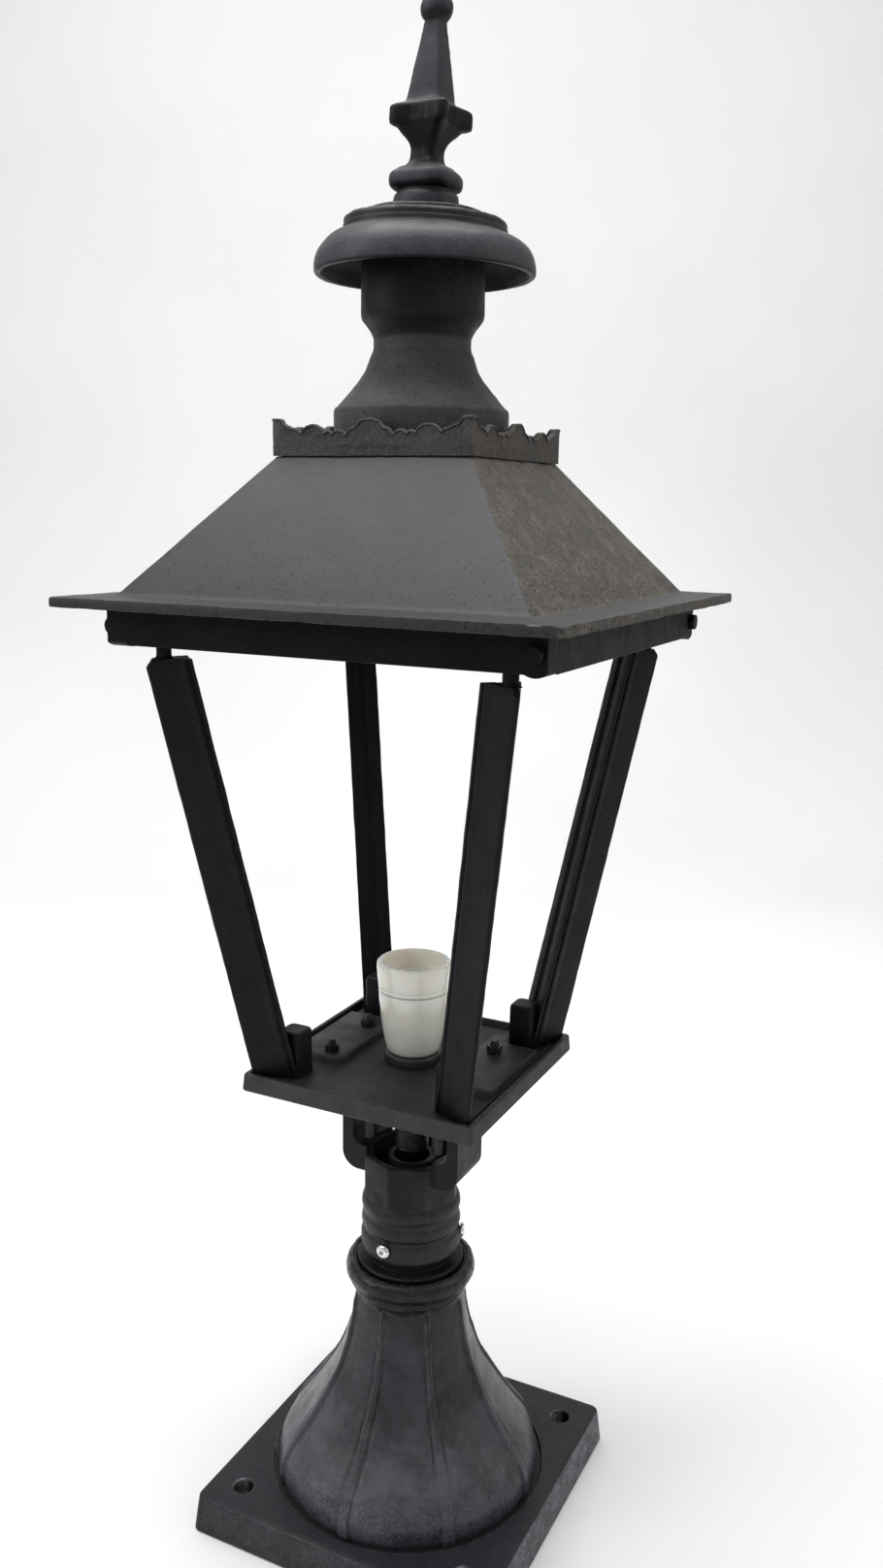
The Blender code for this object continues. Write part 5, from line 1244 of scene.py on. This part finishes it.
def cable_gland():
    rings = thread_rings(12.0, 278.2, 351.4, 1.5, 0.42, 48, 180)
    for r, z in ((8.9, 351.6), (8.5, 351.2), (8.5, 278.4), (8.9, 278.0)):
        rings.append(circle(r * MM, z * MM, 48))
    piece("cable_gland", skin(rings, closed=True), STEEL, "head", 35)
    piece("gland_nut", hex_nut(330.5, 5.2, 30.0, 12.3), STEEL, "head", 30)


def pillar(name, side):
    body = skin(hex_rings(9.5, [(0.86, 284.0), (0.93, 284.4), (1.0, 285.0), (1.0, 310.0),
                                (1.0, 335.0), (0.93, 335.7)]))
    stud = cyl(2.5 * MM, 0.3355, 0.3418, 20)
    hole = turned([(0.4, 283.8), (2.9, 283.8), (2.5, 284.3), (2.5, 296.0), (0.4, 296.0)], 24,
                  closed=False)
    whole = merged(carved(body, ("cut", hole)), stud)
    moved(whole, shift(side * PILLAR_X, PILLAR_Y))
    piece(name, whole, STEEL, "head", 30)


# --- hinges and the remaining CAD pieces

def keep_cad():
    """CAD pieces whose shape is already right only get their finish."""
    for name in ("hinge_rail_leaf_1", "hinge_rail_leaf_2", "hinge_roof_leaf_1",
                 "hinge_roof_leaf_2", "hinge_pin_1", "hinge_pin_2", "finial_rod", "rod_nut"):
        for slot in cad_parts[name].material_slots:
            slot.material = STEEL


# --- studio

def studio_floor():
    """Pale seamless floor and wall, a hair below the object and turned to face the camera."""
    bend = [(1.5 + 0.9 * math.sin(math.radians(a)), 0.9 - 0.9 * math.cos(math.radians(a)))
            for a in range(6, 91, 6)]
    bm = bmesh.new()
    turn = Matrix.Rotation(math.radians(CAMERA_AZIMUTH), 4, "Z")
    previous = None
    for y, z in [(-12.0, 0.0), (1.5, 0.0), *bend, (2.4, 6.0)]:
        pair = [bm.verts.new(turn @ Vector((x, y, z - 0.0004))) for x in (-12.0, 12.0)]
        if previous:
            bm.faces.new((previous[0], previous[1], pair[1], pair[0]))
        previous = pair
    mesh = bpy.data.meshes.new("studio_floor")
    bm.to_mesh(mesh)
    bm.free()
    mesh.shade_smooth()
    floor = bpy.data.objects.new("studio_floor", mesh)
    bpy.context.scene.collection.objects.link(floor)
    n = Nodes("studio_paper")
    cloud = n.ramp(n.noise(1.2, 3.0), "Fac", 0.3, 0.7)
    n.colour_to(n.mix(cloud, (0.66, 0.66, 0.655), (0.70, 0.70, 0.695)), "Base Color")
    n.shader.inputs["Roughness"].default_value = 0.9
    mesh.materials.append(n.mat)


# name, place, target, width, height, watts, colour
LAMPS = (
    ("soft_top", (-0.15, -0.1, 2.3), (0.0, 0.0, 0.5), 1.7, 1.7, 64.0, (0.99, 0.99, 1.0)),
    ("soft_left", (-1.5, -1.3, 1.6), (0.0, 0.0, 0.6), 0.9, 1.4, 20.0, (0.97, 0.985, 1.0)),
    ("soft_right", (1.7, 0.6, 1.5), (0.0, 0.0, 0.45), 1.0, 1.4, 7.0, (1.0, 0.98, 0.95)),
    ("backdrop", (-0.6, 1.0, 2.9), (-1.1, 2.2, 0.9), 2.6, 0.8, 22.0, (1.0, 1.0, 0.99)),
)


def lights():
    """A wide soft light overhead, one on each side, one on the wall, and a pale sky."""
    world = bpy.data.worlds.new("world")
    world.use_nodes = True
    sky = world.node_tree.nodes["Background"].inputs
    sky["Color"].default_value = (0.93, 0.96, 1.0, 1.0)
    sky["Strength"].default_value = 0.5
    bpy.context.scene.world = world
    for name, at, target, wide, tall, power, tint in LAMPS:
        data = bpy.data.lights.new(name, "AREA")
        data.shape = "RECTANGLE"
        data.size = wide
        data.size_y = tall
        data.energy = power
        data.color = tint
        lamp = bpy.data.objects.new(name, data)
        away = (Vector(at) - Vector(target)).to_track_quat("Z", "Y")
        lamp.matrix_world = Matrix.Translation(at) @ away.to_matrix().to_4x4()
        bpy.context.scene.collection.objects.link(lamp)
    bpy.context.scene.view_settings.view_transform = "Standard"


# --- assembly

def build():
    camera()
    base_plate()
    pedestal_bell()
    post_tube()
    head_bracket()
    for i in range(3):
        set_screw(i)
    light_tray()
    for i, (sx, sy) in enumerate(CORNERS):
        bracket_fasteners(i + 1, sx, sy)
        foot_screw(i + 1, sx, sy)
        corner_bar(i)
    for i, (side, reach, start, out) in enumerate(RAILS):
        rail(i, side, reach, start, out)
        rail_bolt(i, side, reach, out)
    roof_shell()
    gallery()
    chimney()
    cowl()
    finial()
    holder_body()
    holder_ring()
    screw_shell()
    centre_contact()
    holder_seat()
    cable_gland()
    pillar("pillar_left", -1)
    pillar("pillar_right", 1)
    keep_cad()
    studio_floor()
    lights()


build()
